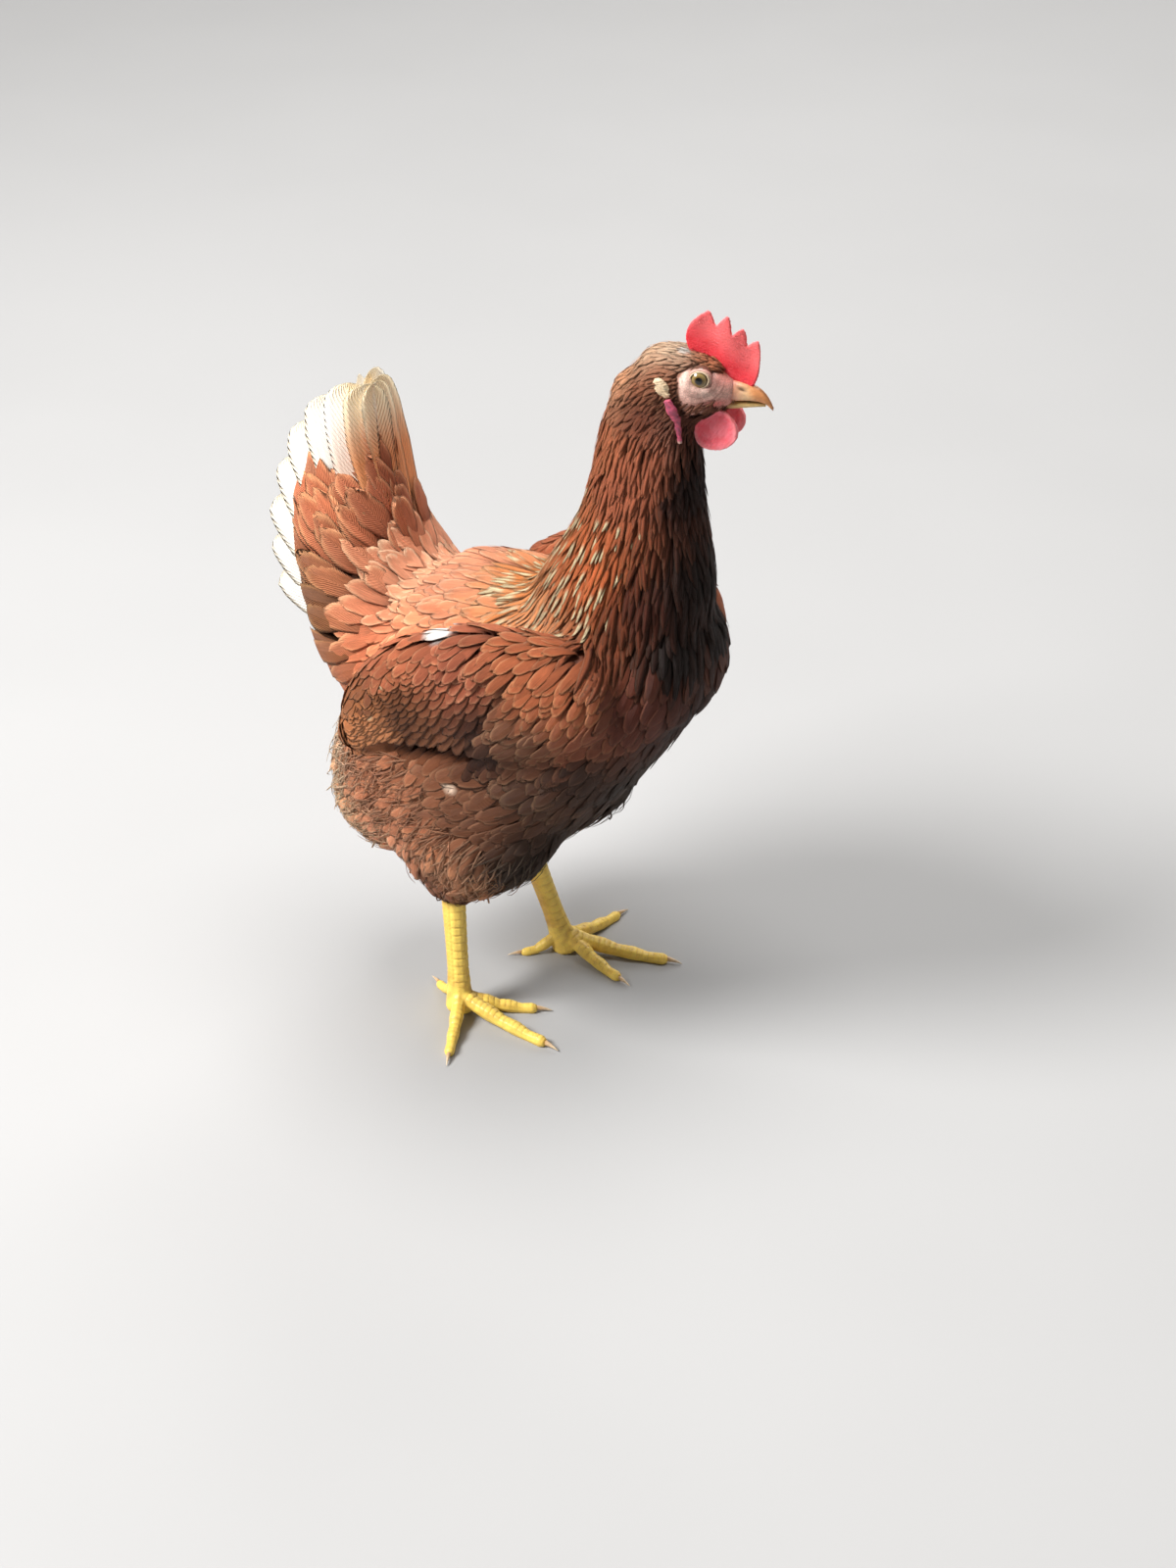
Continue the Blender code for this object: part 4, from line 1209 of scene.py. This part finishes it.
def tail_quills():
    """Both fans of quills, each as one piece."""
    for side_name, side in SIDES.items():
        # Each quill of a fan: its place, its row of the table, how it faces and how far it bows outwards.
        fan = [(place, quill, QUILL_FACING[side_name][place], 0.009 * (1 - place * 0.07) if place else 0.004)
               for place, quill in enumerate(QUILLS)]
        if side_name == "right":
            fan.append((0, RIDGE_QUILL, math.radians(88), 0.0))
        lines, ups, half, uvs, cores = [], [], [], [], []
        out = np.array((0, side, 0.0))
        t = QUILL_STATIONS[:, None]
        xs, ts = np.broadcast_arrays(QUILL_RING[:, 0], t)
        for place, (root, tip, width), facing, swing in fan:
            start = np.array(root) * (1, side, 1) + SHIFT
            shaft = np.array(tip) * (1, side, 1) + SHIFT - start
            ahead = tangent(np.array((1.0, 0, 0.2)), unit(shaft))
            up = unit(out * np.cos(facing) + ahead * np.sin(facing))
            # Quills bow outwards and back a little.
            bow = np.sin(np.pi * t)
            line = start + shaft * t + out * swing * bow - ahead * 0.004 * bow
            lines.append(line + up * (0.0040 - place * 0.0008) * t)
            ups.append(np.broadcast_to(up, line.shape))
            half.append(width * (1 + RNG.normal(0, 0.02)))
            uvs.append(root_uv(np.array([SKIN_TREE.find_nearest(Vector(start))[2]]))[0])
            # The ring runs from one web to the other. The web on the ahead side leads.
            leads = np.sign(np.cross(shaft, up) @ ahead)
            cores.append(quill_colours(place, -xs * leads, ts))
        count = len(lines)
        blank = np.zeros((count, 1))
        colours = np.array(cores)
        own = {"core": colours, "rim": np.clip(colours * 1.03, 0, 1), "streak": blank, "shaft": blank + 1.0}
        widths = np.broadcast_to(QUILL_WIDTHS, (count, len(QUILL_WIDTHS)))
        ragged = 1 + RNG.normal(0, 0.02, (count, len(QUILL_WIDTHS), 2))
        coat_piece("tail_quills_" + side_name, np.array(lines), np.array(ups), np.array(half), widths,
                   0.40 * MM, 0.08, own, np.array(uvs), QUILL_RING, QUILL_STATIONS, ragged,
                   patch=QUILL_PATCH, fringe=0.2 * MM)


tail_quills()

# ---------------------------------------------------------------- the skin's looks

put_attribute(skin, "core", "FLOAT_COLOR", spotted(coat["core"], skin_points))
put_attribute(skin, "bare", "FLOAT", skin_bare)
PINK, GREY_PINK, RED_PINK = linear((230, 178, 162)), linear((224, 164, 146)), linear((236, 122, 114))
PALE = linear((234, 204, 188))
q = skin_body - HEAD_PIVOT


def blot(x, z, wide, high):
    """1 at a place on the head's side, fading over the given half sizes."""
    return (bell(q[:, 0], x, wide) * bell(q[:, 2], z, high))[:, None]


low_face = 1 - smoothstep(-0.004, 0.006, q[:, 2])[:, None]
pale_face = np.clip(blot(0.0165, 0.0105, 0.004, 0.006) + blot(0.026, 0.006, 0.005, 0.003), 0, 1)
red_face = np.clip(blot(0.030, 0.0005, 0.005, 0.0022) + 0.35 * blot(0.034, 0.0115, 0.005, 0.004), 0, 1)
flush = blended(PINK, GREY_PINK, low_face * 0.9)
flush = blended(blended(flush, PALE, pale_face * 0.7), RED_PINK, red_face)
put_attribute(skin, "flush", "FLOAT_COLOR", flush)
wear(skin, skin_material(), "face", *FLESH_NODES)


# ---------------------------------------------------------------- head pieces


def place_on_head(obj, points, *grains):
    """Sets a piece's points, given in head axes, and roughens it by each size, scale and seed."""
    set_points(obj, from_head(points))
    for grain in grains:
        grainy(obj, *grain)


def curve_through(points, steps):
    """A closed smooth curve through points (Catmull-Rom)."""
    p = np.array(points)
    before, after, beyond = np.roll(p, 1, 0), np.roll(p, -1, 0), np.roll(p, -2, 0)
    t = (np.arange(steps) / steps)[None, :, None]
    p, before, after, beyond = (v[:, None] for v in (p, before, after, beyond))
    bend = 0.5 * (2 * p + (after - before) * t + (2 * before - 5 * p + 4 * after - beyond) * t**2
                  + (3 * p - before - 3 * after + beyond) * t**3)
    return bend.reshape(-1, 2)


def fleshy_sheet(name, outline, half_thick, voxel, rounds):
    """A soft-edged sheet in the head's plane, from its outline (forward, up); points in head axes."""
    curve = curve_through(outline, 6)
    count = len(curve)
    bm = bmesh.new()
    for y in (-half_thick, half_thick):
        for x, z in curve:
            bm.verts.new((x, y, z))
    bm.verts.ensure_lookup_table()
    bm.faces.new([bm.verts[i] for i in range(count)])
    bm.faces.new([bm.verts[count + i] for i in reversed(range(count))])
    for i in range(count):
        j = (i + 1) % count
        bm.faces.new([bm.verts[j], bm.verts[i], bm.verts[count + i], bm.verts[count + j]])
    bmesh.ops.recalc_face_normals(bm, faces=bm.faces)
    bmesh.ops.triangulate(bm, faces=bm.faces)
    obj = remeshed(mesh_from(bm, name), voxel, name)
    relax(obj, rounds)
    return obj


# The comb's outline: its foot on the skull, the round rear blade, then the four points forwards.
COMB = ((.0190, .0165), (.0150, .0215), (.0136, .0262), (.0138, .0300), (.0155, .0340), (.0186, .0374),
        (.0210, .0390), (.0231, .0402), (.0249, .0378), (.0268, .0338), (.0295, .0364), (.0325, .0392),
        (.0339, .0352), (.0346, .0303), (.0368, .0320), (.0392, .0334), (.0408, .0304), (.0414, .0255),
        (.0438, .0272), (.0464, .0284), (.0475, .0250), (.0477, .0190), (.0470, .0120), (.0445, .0062),
        (.0400, .0050), (.0330, .0080), (.0260, .0125))
comb = fleshy_sheet("comb_skin", COMB, 1.5 * MM, 0.40 * MM, 4)
q = points_of(comb)
# Thick at its foot and thin at its points, and it leans a little from side to side.
foot_height = 0.0195 - 0.62 * (q[:, 0] - 0.015)
over_foot = np.clip((q[:, 2] - foot_height) / 0.020, 0, 1)
q[:, 1] = q[:, 1] * (1.25 - 0.75 * over_foot) + 0.0007 * np.sin(q[:, 0] * 330) * over_foot
place_on_head(comb, q, (0.14 * MM, 2600, 3), (0.10 * MM, 5200, 4))
put_attribute(comb, "tip", "FLOAT", 0.9 * smoothstep(0.35, 1.0, over_foot))
RED = red_material("comb_red", (244, 60, 72), (226, 38, 52), (252, 150, 146), 2600.0)
WATTLE_RED = red_material("wattle_red", (255, 122, 134), (252, 88, 102), (254, 170, 168), 2400.0)
wear(comb, RED, "comb_skin", "comb")

WATTLE_MIDDLE, WATTLE_HALF = np.array((.0292, -.0132)), np.array((.0100, .0106))
for side_name, side in SIDES.items():
    turns = np.linspace(0, 2 * np.pi, 18, endpoint=False)
    disc = WATTLE_MIDDLE + WATTLE_HALF * np.stack((np.cos(turns), np.sin(turns)), -1)
    disc[:, 0] += 0.0012 * np.cos(2 * turns + 0.6)
    wattle = fleshy_sheet("wattle_skin_" + side_name, disc, 1.3 * MM, 0.38 * MM, 4)
    q = points_of(wattle)
    # It hangs along the line of the solid beneath, cupped, with a thickened rim.
    known = head_axes(points_of(NODES["wattle_" + side_name]))
    hang = np.polyfit(known[:, 2], known[:, 1], 1)
    from_middle = np.hypot(*((q[:, ::2] - WATTLE_MIDDLE) / WATTLE_HALF).T)
    cup = -0.0009 * (1 - np.clip(from_middle, 0, 1) ** 2)
    thin = 0.72 + 0.30 * smoothstep(0.62, 0.84, from_middle)
    q[:, 1] = q[:, 1] * thin + np.polyval(hang, q[:, 2]) + side * (cup + 0.0004)
    place_on_head(wattle, q, (0.13 * MM, 2400, 7))
    put_attribute(wattle, "tip", "FLOAT", 0.8 * smoothstep(0.78, 1.0, from_middle))
    wear(wattle, WATTLE_RED, "comb_skin", "wattle_" + side_name)

SOFT_SKIN = {"Subsurface Weight": 0.1, "Subsurface Scale": 0.3}
LOBE = tinted_material("lobe", 0.86, 1.06, 0.55, 900.0, 0.2 * MM, SOFT_SKIN)
for side_name, side in SIDES.items():
    lobe = fine_copy(("earlobe_" + side_name,), 0.35 * MM, "lobe_skin_" + side_name, 4)
    q = head_axes(points_of(lobe))
    middle = q.mean(0)
    q[:, 0] += 0.35 * (middle[2] - q[:, 2]) + 0.0003 * np.sin(q[:, 2] * 1500)
    q[:, 1] = middle[1] + (q[:, 1] - middle[1]) * 0.7
    place_on_head(lobe, q, (0.18 * MM, 1500, 9), (0.16 * MM, 4000, 10))
    shade = (0.5 + 0.5 * np.sign(wave_noise(q, 1600, 12)))[:, None] * 0.25
    tint = blended(linear((236, 206, 166)), linear((196, 152, 112)), shade)
    wear_tinted(lobe, tint, LOBE, "lobe_skin", "earlobe_" + side_name)


def tube_along(name, path, half_across, half_out, normals, ring=14):
    """A closed, flattened tube along a path of points that lies on the skin."""
    along = unit(np.gradient(path, axis=0))
    across = unit(np.cross(along, normals))
    angle = np.linspace(0, 2 * np.pi, ring, endpoint=False)
    offset = across[:, None] * (half_across[:, None] * np.cos(angle))[..., None]
    offset = offset + normals[:, None] * (half_out[:, None] * np.sin(angle))[..., None]
    co = (path[:, None] + offset).reshape(-1, 3)
    return mesh_object(name, co, facing_out(co, tube_faces(len(path), ring)))


# A fold of purplish skin that runs from under the earlobe down and forwards, and ends in a pale bead.
FOLD = ((.0098, .0172, .0042), (.0114, .0170, .0008), (.0132, .0168, -.0034), (.0152, .0165, -.0080),
        (.0172, .0162, -.0126), (.0188, .0160, -.0164), (.0200, .0160, -.0190))
FOLD_STEPS = 40
FOLD_HALF = (.0013, .0025, .0024, .0017, .0013, .0010, .0012)
# How far it stands off the skin, over the feathers: at these of its points, and by how much.
FOLD_STANDS = (0, 2, 6), (.0018, .0028, .0050)
for side_name, side in SIDES.items():
    share = np.linspace(0, 1, FOLD_STEPS)
    steps = share * (len(FOLD) - 1)
    path = smoothed(along_row(FOLD, share), chain(FOLD_STEPS), 3)
    path = from_head(path * (1, side, 1))
    places, normals, _rows = on_skin(path)
    normals = unit(normals + np.array((0, side, 0)))
    wide = np.interp(steps, np.arange(len(FOLD)), FOLD_HALF) * (1 + 0.12 * np.sin(steps * 5.1))
    wide[0], wide[-1] = wide[0] * 0.3, wide[-1] * 0.3
    places = places + normals * np.interp(steps, *FOLD_STANDS)[:, None]
    fold = tube_along("ear_fold_" + side_name, places, wide, wide * 0.45 + 0.3 * MM, normals)
    q = head_axes(points_of(fold))
    grainy(fold, 0.18 * MM, 3200, 21)
    lower = smoothstep(-0.0165, -0.0185, q[:, 2])[:, None]
    mottle = (0.5 + 0.5 * wave_noise(q, 1900, 22).clip(-1, 1))[:, None]
    tint = blended(linear((150, 66, 90)), linear((204, 80, 104)), mottle)
    tint = blended(tint, linear((214, 170, 150)), lower)
    wear_tinted(fold, tint, LOBE, "face")

HORN = tinted_material("horn", 0.88, 1.08, 0.36, 500.0, 0.12 * MM,
                       {"Coat Weight": 0.12, "Subsurface Weight": 0.06, "Subsurface Scale": 0.2})
HORN_STATIONS, HORN_RING = 60, 48


def horn_loft(name, rows, flat):
    """A horn sheath from rows (forward, up, half width, above, below) in head axes, squared below by flat."""
    table = along_row(rows, np.linspace(0, 1, HORN_STATIONS))
    table[1:-1] = smoothed(table, chain(HORN_STATIONS), 6)[1:-1]
    angle = np.linspace(0, 2 * np.pi, HORN_RING, endpoint=False)
    c, d = np.cos(angle), np.sin(angle)
    over = d > 0
    # A keeled top, near-upright walls and a flat cutting edge.
    y = np.where(over, np.sign(c) * np.abs(c) ** 0.92, np.sign(c) * np.abs(c) ** flat)
    z_over, z_under = np.abs(d) ** 1.05, -np.abs(d) ** flat
    co = np.empty((HORN_STATIONS, HORN_RING, 3))
    co[..., 0] = table[:, :1]
    co[..., 1] = table[:, 2:3] * y
    co[..., 2] = table[:, 1:2] + np.where(over, table[:, 3:4] * z_over, table[:, 4:5] * z_under)
    co = co.reshape(-1, 3)
    return mesh_object(name, co, facing_out(co, tube_faces(HORN_STATIONS, HORN_RING)))


UPPER_BEAK = ((.0255, .0034, .0080, .0068, .0044), (.0290, .0036, .0074, .0068, .0045),
              (.0335, .0038, .0063, .0062, .0045), (.0380, .0038, .0053, .0055, .0041),
              (.0420, .0036, .0046, .0046, .0034), (.0450, .0034, .0041, .0037, .0031),
              (.0480, .0027, .0034, .0030, .0026), (.0508, .0013, .0025, .0021, .0018),
              (.0531, -.0010, .0015, .0013, .0016), (.0546, -.0034, .0006, .0008, .0009))
LOWER_BEAK = ((.0265, -.0024, .0066, .0016, .0034), (.0300, -.0024, .0060, .0016, .0031),
              (.0350, -.0022, .0050, .0016, .0026), (.0400, -.0018, .0041, .0014, .0022),
              (.0450, -.0014, .0031, .0012, .0018), (.0488, -.0014, .0021, .0010, .0013),
              (.0510, -.0019, .0008, .0006, .0007))
YELLOW_HORN, PINK_HORN = linear((236, 196, 148)), linear((208, 122, 106))
ORANGE_HORN, DARK_HORN = linear((206, 120, 62)), linear((104, 54, 30))
upper = horn_loft("beak_upper_horn", UPPER_BEAK, 0.62)
q = points_of(upper)
no = normals_of(upper)
# The nostril is a slanting slot with a flap over it.
slot_ahead, slot_up = q[:, 0] - 0.0408, q[:, 2] - 0.0062
nostril = bell(slot_ahead, 0, 0.0021) * bell(slot_up + 0.35 * slot_ahead, 0, 0.0007)
flap = bell(slot_ahead, 0, 0.0028) * bell(slot_up, 0.0013, 0.0009)
beside = smoothstep(0.0018, 0.0030, np.abs(q[:, 1]))
q = q + no * (beside * (0.5 * MM * flap - 0.8 * MM * nostril))[:, None]
place_on_head(upper, q, (0.05 * MM, 3000, 31))
far = smoothstep(0.033, 0.045, q[:, 0])[:, None]
tint = blended(PINK_HORN, YELLOW_HORN, far)
tipward = smoothstep(0.0425, 0.0490, q[:, 0] + 0.4 * q[:, 2])
tipward = (tipward * smoothstep(-0.0020, 0.0010, q[:, 2] + 0.5 * (q[:, 0] - 0.046)))[:, None]
tint = blended(tint, ORANGE_HORN, 0.8 * tipward)
ridge = bell(q[:, 1], 0, 0.0011) * smoothstep(0.044, 0.050, q[:, 0]) * (no[:, 2] > 0)
tint = blended(tint, DARK_HORN, 0.6 * ridge[:, None])
# The nostril's slot is darkened: painted shade in its opening.
tint = tint * (1 - 0.85 * (beside * nostril)[:, None])
wear_tinted(upper, tint, HORN, "horn", "beak_upper")

lower = horn_loft("beak_lower_horn", LOWER_BEAK, 0.85)
q = points_of(lower)
place_on_head(lower, q, (0.05 * MM, 3000, 32))
far = smoothstep(0.030, 0.038, q[:, 0])[:, None]
# Its upper edge is darkened along the mouth line: painted shade between the two halves of the beak.
inside = smoothstep(-0.0014, -0.0004, q[:, 2])[:, None]
tint = blended(linear((196, 108, 92)), linear((216, 180, 116)), far)
wear_tinted(lower, tint * (1 - 0.7 * inside), HORN, "horn", "beak_lower")


def eye_material():
    """Olive iris with a darker ring and fine rays, a black pupil, a clear gloss."""
    look = Look("eye")
    facing = look.attribute("gaze", "Fac")
    rays = look.math("SINE", look.times(look.attribute("round", "Fac"), 38.0))
    colour = look.mix(look.ramp(facing, 0.42, 0.80), linear((104, 78, 38)), linear((146, 124, 76)))
    colour = look.mix(look.times_plus(rays, 0.08, 0.10), colour, linear((92, 66, 30)))
    colour = look.mix(look.ramp(facing, 0.82, 0.98), colour, linear((62, 46, 30)))
    colour = look.mix(look.ramp(facing, 0.47, 0.41), colour, (0.004, 0.004, 0.004))
    colour = look.mix(look.ramp(facing, 1.04, 1.12), colour, linear((96, 70, 58)))
    return look.finished(colour, 0.08, fixed={"Coat Weight": 0.35, "Coat Roughness": 0.02})


EYE_MATERIAL = eye_material()
LID = tinted_material("lid", 0.85, 1.05, 0.5, 900.0, 0.12 * MM, SOFT_SKIN)
IRIS = 3.6 * MM
EYE_SHARE, EYE_SINK = 0.93, 0.5 * MM  # the ball inside its solid
UPWARDS = np.array((0, 0, 1.0))


def ring_sweep(middle, axis, radii, heights, segments=56):
    """A closed ring swept round an axis, its section given as radii and heights along the axis."""
    side = unit(np.cross(UPWARDS, axis))
    up = np.cross(axis, side)
    angle = np.linspace(0, 2 * np.pi, segments, endpoint=False)
    spoke = np.cos(angle)[:, None] * side + np.sin(angle)[:, None] * up
    co = middle + spoke[:, None, :] * np.reshape(radii, (-1, 1)) + axis * np.reshape(heights, (-1, 1))
    count = len(radii)
    a = np.arange(segments)[:, None] * count + np.arange(count)
    b = (np.arange(segments)[:, None] + 1) % segments * count + np.arange(count)
    faces = np.stack((a, b, np.roll(b, -1, 1), np.roll(a, -1, 1)), -1).reshape(-1, 4)
    return co, faces


for side_name, side in SIDES.items():
    low_corner, high_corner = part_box("eye_" + side_name)
    axis = unit(head_vector(0.10, side, 0.10))
    middle = np.array((low_corner + high_corner) / 2) - axis * EYE_SINK
    radius = (high_corner.z - low_corner.z) / 2 * EYE_SHARE
    bm = bmesh.new()
    bmesh.ops.create_uvsphere(bm, u_segments=64, v_segments=48, radius=radius)
    ball = linked("eyeball_" + side_name, mesh_from(bm, "eyeball_" + side_name))
    shade_smooth(ball.data)
    co = points_of(ball)
    from_axis = np.linalg.norm(co - dot(co, axis) * axis, axis=1)
    outwards = (co @ axis) > 0
    bulge = 0.4 * MM * bell(from_axis, 0, 0.0035) * outwards
    set_points(ball, co * (1 + bulge / radius)[:, None] + middle)
    put_attribute(ball, "gaze", "FLOAT", np.where(outwards, from_axis / IRIS, 2.0))
    v = unit(np.cross(axis, UPWARDS))
    w = np.cross(axis, v)
    put_attribute(ball, "round", "FLOAT", np.arctan2(co @ v, co @ w))
    wear(ball, EYE_MATERIAL, "eye", "eye_" + side_name)
    # Lids: a pale rim on the ball, and a softer fold round it.
    for part, radii, heights, colour in (
        ("lid_rim_", (.0036, .0038, .0041, .0044, .0042, .0038), (.0042, .0046, .0046, .0040, .0034, .0037),
         (214, 186, 152)),
        ("lid_fold_", (.0042, .0045, .0049, .0053, .0051, .0045), (.0037, .0041, .0036, .0024, .0012, .0024),
         (196, 150, 134)),
    ):
        ring, faces = ring_sweep(middle, axis, radii, heights)
        # The lids' opening is a little longer than it is high.
        ahead = tangent(head_vector(1.0, 0, 0.1), axis)
        upright = np.cross(axis, ahead)
        rel = ring - middle
        ring = ring + ahead * (dot(rel, ahead) * 0.10) - upright * (dot(rel, upright) * 0.06)
        lid = mesh_object(part + side_name, ring.reshape(-1, 3), faces)
        grainy(lid, 0.06 * MM, 5200, 5)
        wear_tinted(lid, linear(colour), LID, "face")

# ---------------------------------------------------------------- legs

HOCK = np.array((-.024, .029, .085))
FEET = {"right": (-.0146, -.0365, 0.0), "left": (.0009, .0405, 0.0)}
FOOT_TURNS = {"right": math.radians(-1), "left": math.radians(21)}
TOES = {"inner": -33, "middle": 0, "outer": 61, "back": -155}  # degrees outwards from the foot's line
LEG_YELLOW, LEG_DEEP, LEG_BROWN = (linear(c) for c in ((252, 216, 100), (236, 178, 72), (166, 106, 58)))
LEG = tinted_material("leg", 0.97, 1.12, 0.46, 260.0, 0.1 * MM, {"Coat Weight": 0.08})
CLAW_ROOT, CLAW_TIP = linear((206, 164, 112)), linear((232, 212, 180))
CLAW = tinted_material("claw_horn", 0.85, 1.08, 0.38, 500.0, 0.1 * MM, {"Coat Weight": 0.15})


def scutes(away, pitch, stagger=0):
    """Height and groove of overlapping plates, by the distance along their row."""
    phase = away / pitch + stagger
    saw = phase - np.floor(phase)
    plate = np.minimum(saw / 0.18, 1) * (0.75 + 0.25 * saw)
    return plate, bell(np.minimum(saw, 1 - saw), 0, 0.07)


for side_name, side in SIDES.items():
    foot = np.array(FEET[side_name]) + SHIFT
    hock = HOCK * (1, side, 1) + SHIFT
    names = ["shank_" + side_name] + ["toe_%s_%s" % (toe, side_name) for toe in TOES]
    leg = fine_copy(names, 0.55 * MM, "leg_" + side_name, 3, swell=0.3 * MM)
    co, no = points_of(leg), normals_of(leg)
    axis = unit(foot - hock)
    from_hock = (co - hock) @ axis
    ahead = tangent(turned(np.array((1.0, 0, 0)), FOOT_TURNS[side_name]), axis)
    aside = np.cross(axis, ahead)
    rel = co - hock
    angle = np.arctan2(rel @ aside, rel @ ahead)
    high = co[:, 2] > 0.017
    # Two rows of plates down the shank's front, small scales round the rest.
    row = (angle > 0) * 0.5
    plate, groove = scutes(from_hock, 4.6 * MM, row)
    middle_line, side_line = bell(angle, 0, 0.07), bell(np.abs(angle), 1.35, 0.09)
    in_front = 1 - smoothstep(1.2, 1.4, np.abs(angle))
    grain = np.sin(from_hock * 2600 + np.sin(angle * 9) * 1.2) * np.sin(angle * 11)
    shank_groove = in_front * np.maximum(groove, middle_line)
    lift_shank = in_front * 0.30 * MM * plate - 0.28 * MM * shank_groove - 0.22 * MM * side_line
    lift_shank = lift_shank + (1 - in_front) * 0.14 * MM * grain
    # One row of plates over each toe.
    best = np.full(len(co), 1e9)
    lift_toe, toe_groove = np.zeros(len(co)), np.zeros(len(co))
    for bearing in TOES.values():
        heading = FOOT_TURNS[side_name] + side * math.radians(bearing)
        along = np.array((math.cos(heading), math.sin(heading), 0))
        out = (co - foot) @ along
        off = np.linalg.norm((co - foot)[:, :2] - out[:, None] * along[:2], axis=1) + (out < 0) * 0.02
        plate, groove = scutes(out, 3.0 * MM)
        top = smoothstep(0.15, 0.6, no[:, 2])
        mine = off < best
        best = np.minimum(best, off)
        lift_toe = np.where(mine, top * 0.26 * MM * (plate - groove), lift_toe)
        toe_groove = np.where(mine, top * groove, toe_groove)
    # The soles stay plain.
    lift = np.where(high, lift_shank, lift_toe) * smoothstep(0.0035, 0.0060, co[:, 2])
    set_points(leg, co + no * (lift - 0.1 * MM)[:, None])
    grooves = np.where(high, shank_groove, toe_groove)
    back_face = smoothstep(1.0, 2.4, np.abs(angle)) * high
    joint = bell(co[:, 2], 0.014, 0.010)
    mottle = 0.5 + 0.5 * wave_noise(co, 520, 21)
    tint = blended(LEG_YELLOW, LEG_DEEP, np.clip(0.6 * back_face + 0.15 * mottle, 0, 1)[:, None])
    tint = blended(tint, LEG_BROWN, np.clip(0.30 * grooves + 0.30 * joint * mottle, 0, 0.7)[:, None])
    wear_tinted(leg, tint, LEG, "leg_scales", *names)
    for toe in TOES:
        claw_name = "claw_%s_%s" % (toe, side_name)
        claw = fine_copy((claw_name,), 0.30 * MM, claw_name + "_horn", 2)
        reach = np.linalg.norm(points_of(claw) - foot, axis=1)[:, None]
        tint = blended(CLAW_ROOT, CLAW_TIP, (reach - reach.min()) / np.ptp(reach))
        wear_tinted(claw, tint, CLAW, "claw", claw_name)

# ---------------------------------------------------------------- floor, light and camera


def plain_material(name, colour, grain):
    """A matt, barely mottled surface."""
    look = Look(name)
    shade = look.ramp(look.noise(grain, 2.0), 0.3, 0.7, 0.97, 1.0)
    return look.finished(look.shaded(colour, shade), 0.9)


# The floor's radius and height from its middle out to the backdrop's top.
FLOOR_PROFILE = ((0, 0), (0.6, 0), (1.5, 0), (3.0, 0), (4.2, 0.15), (4.9, 0.8), (5.0, 2.2), (5.0, 4.5))
FLOOR_SEGMENTS = 48


def floor_sweep():
    """A pale floor that rises behind into a backdrop all round the view."""
    radius, height = np.array(FLOOR_PROFILE).T[..., None]
    turn = np.linspace(0, 2 * np.pi, FLOOR_SEGMENTS, endpoint=False)
    co = np.stack(np.broadcast_arrays(radius * np.cos(turn), radius * np.sin(turn), height), -1)
    step = np.arange(FLOOR_SEGMENTS)
    start = FLOOR_SEGMENTS * np.arange(len(FLOOR_PROFILE) - 1)[:, None]
    here, beside = start + step, start + (step + 1) % FLOOR_SEGMENTS
    faces = np.stack((here, beside, beside + FLOOR_SEGMENTS, here + FLOOR_SEGMENTS), -1)
    floor = mesh_object("floor", co.reshape(-1, 3), faces.reshape(-1, 4))
    floor.data.materials.append(plain_material("floor", (0.40, 0.395, 0.39), 3.0))


def soft_light(name, place, size, power):
    """A round area light that points at AIM."""
    data = bpy.data.lights.new(name, "AREA")
    data.shape, data.size, data.energy = "DISK", size, power
    lamp = linked(name, data)
    lamp.location = place
    lamp.rotation_euler = (Vector(AIM) - Vector(place)).to_track_quat("-Z", "Y").to_euler()


floor_sweep()
AIM = (0, 0, 0.2)  # the lights point here
soft_light("key", (-1.15, -1.5, 1.9), 1.1, 108)
soft_light("top", (-0.1, 0.2, 2.4), 1.6, 50)
soft_light("fill", (1.9, -1.6, 1.0), 2.0, 2)
soft_light("rim", (-0.6, 1.9, 1.5), 1.4, 22)
world = bpy.data.worlds.new("studio")
world.use_nodes = True
background = world.node_tree.nodes["Background"].inputs
background["Color"].default_value, background["Strength"].default_value = (1.0, 0.97, 0.935, 1), 0.17
bpy.context.scene.world = world

CAMERA_BEARING, CAMERA_RISE, CAMERA_FAR = math.radians(36), math.radians(30), 1.47
AIM_ASIDE, AIM_DOWN = 0.0338, 0.0617  # where the photo's frame has the target
TARGET = Vector((0.0003, -0.0047, 0.200))
back = Vector((math.sin(CAMERA_BEARING) * math.cos(CAMERA_RISE),
               -math.cos(CAMERA_BEARING) * math.cos(CAMERA_RISE), math.sin(CAMERA_RISE)))
right = Vector((math.cos(CAMERA_BEARING), math.sin(CAMERA_BEARING), 0))
above = back.cross(right)
lens = bpy.data.cameras.new("camera")
lens.sensor_fit, lens.sensor_width, lens.sensor_height = "VERTICAL", 27.0, 36.0
lens.lens = 67.5
camera = linked("camera", lens)
camera.location = TARGET + back * CAMERA_FAR
looked_at = TARGET + right * AIM_ASIDE - above * AIM_DOWN
camera.rotation_euler = (camera.location - looked_at).to_track_quat("Z", "Y").to_euler()
bpy.context.scene.camera = camera
bpy.context.scene.view_settings.view_transform = "Standard"
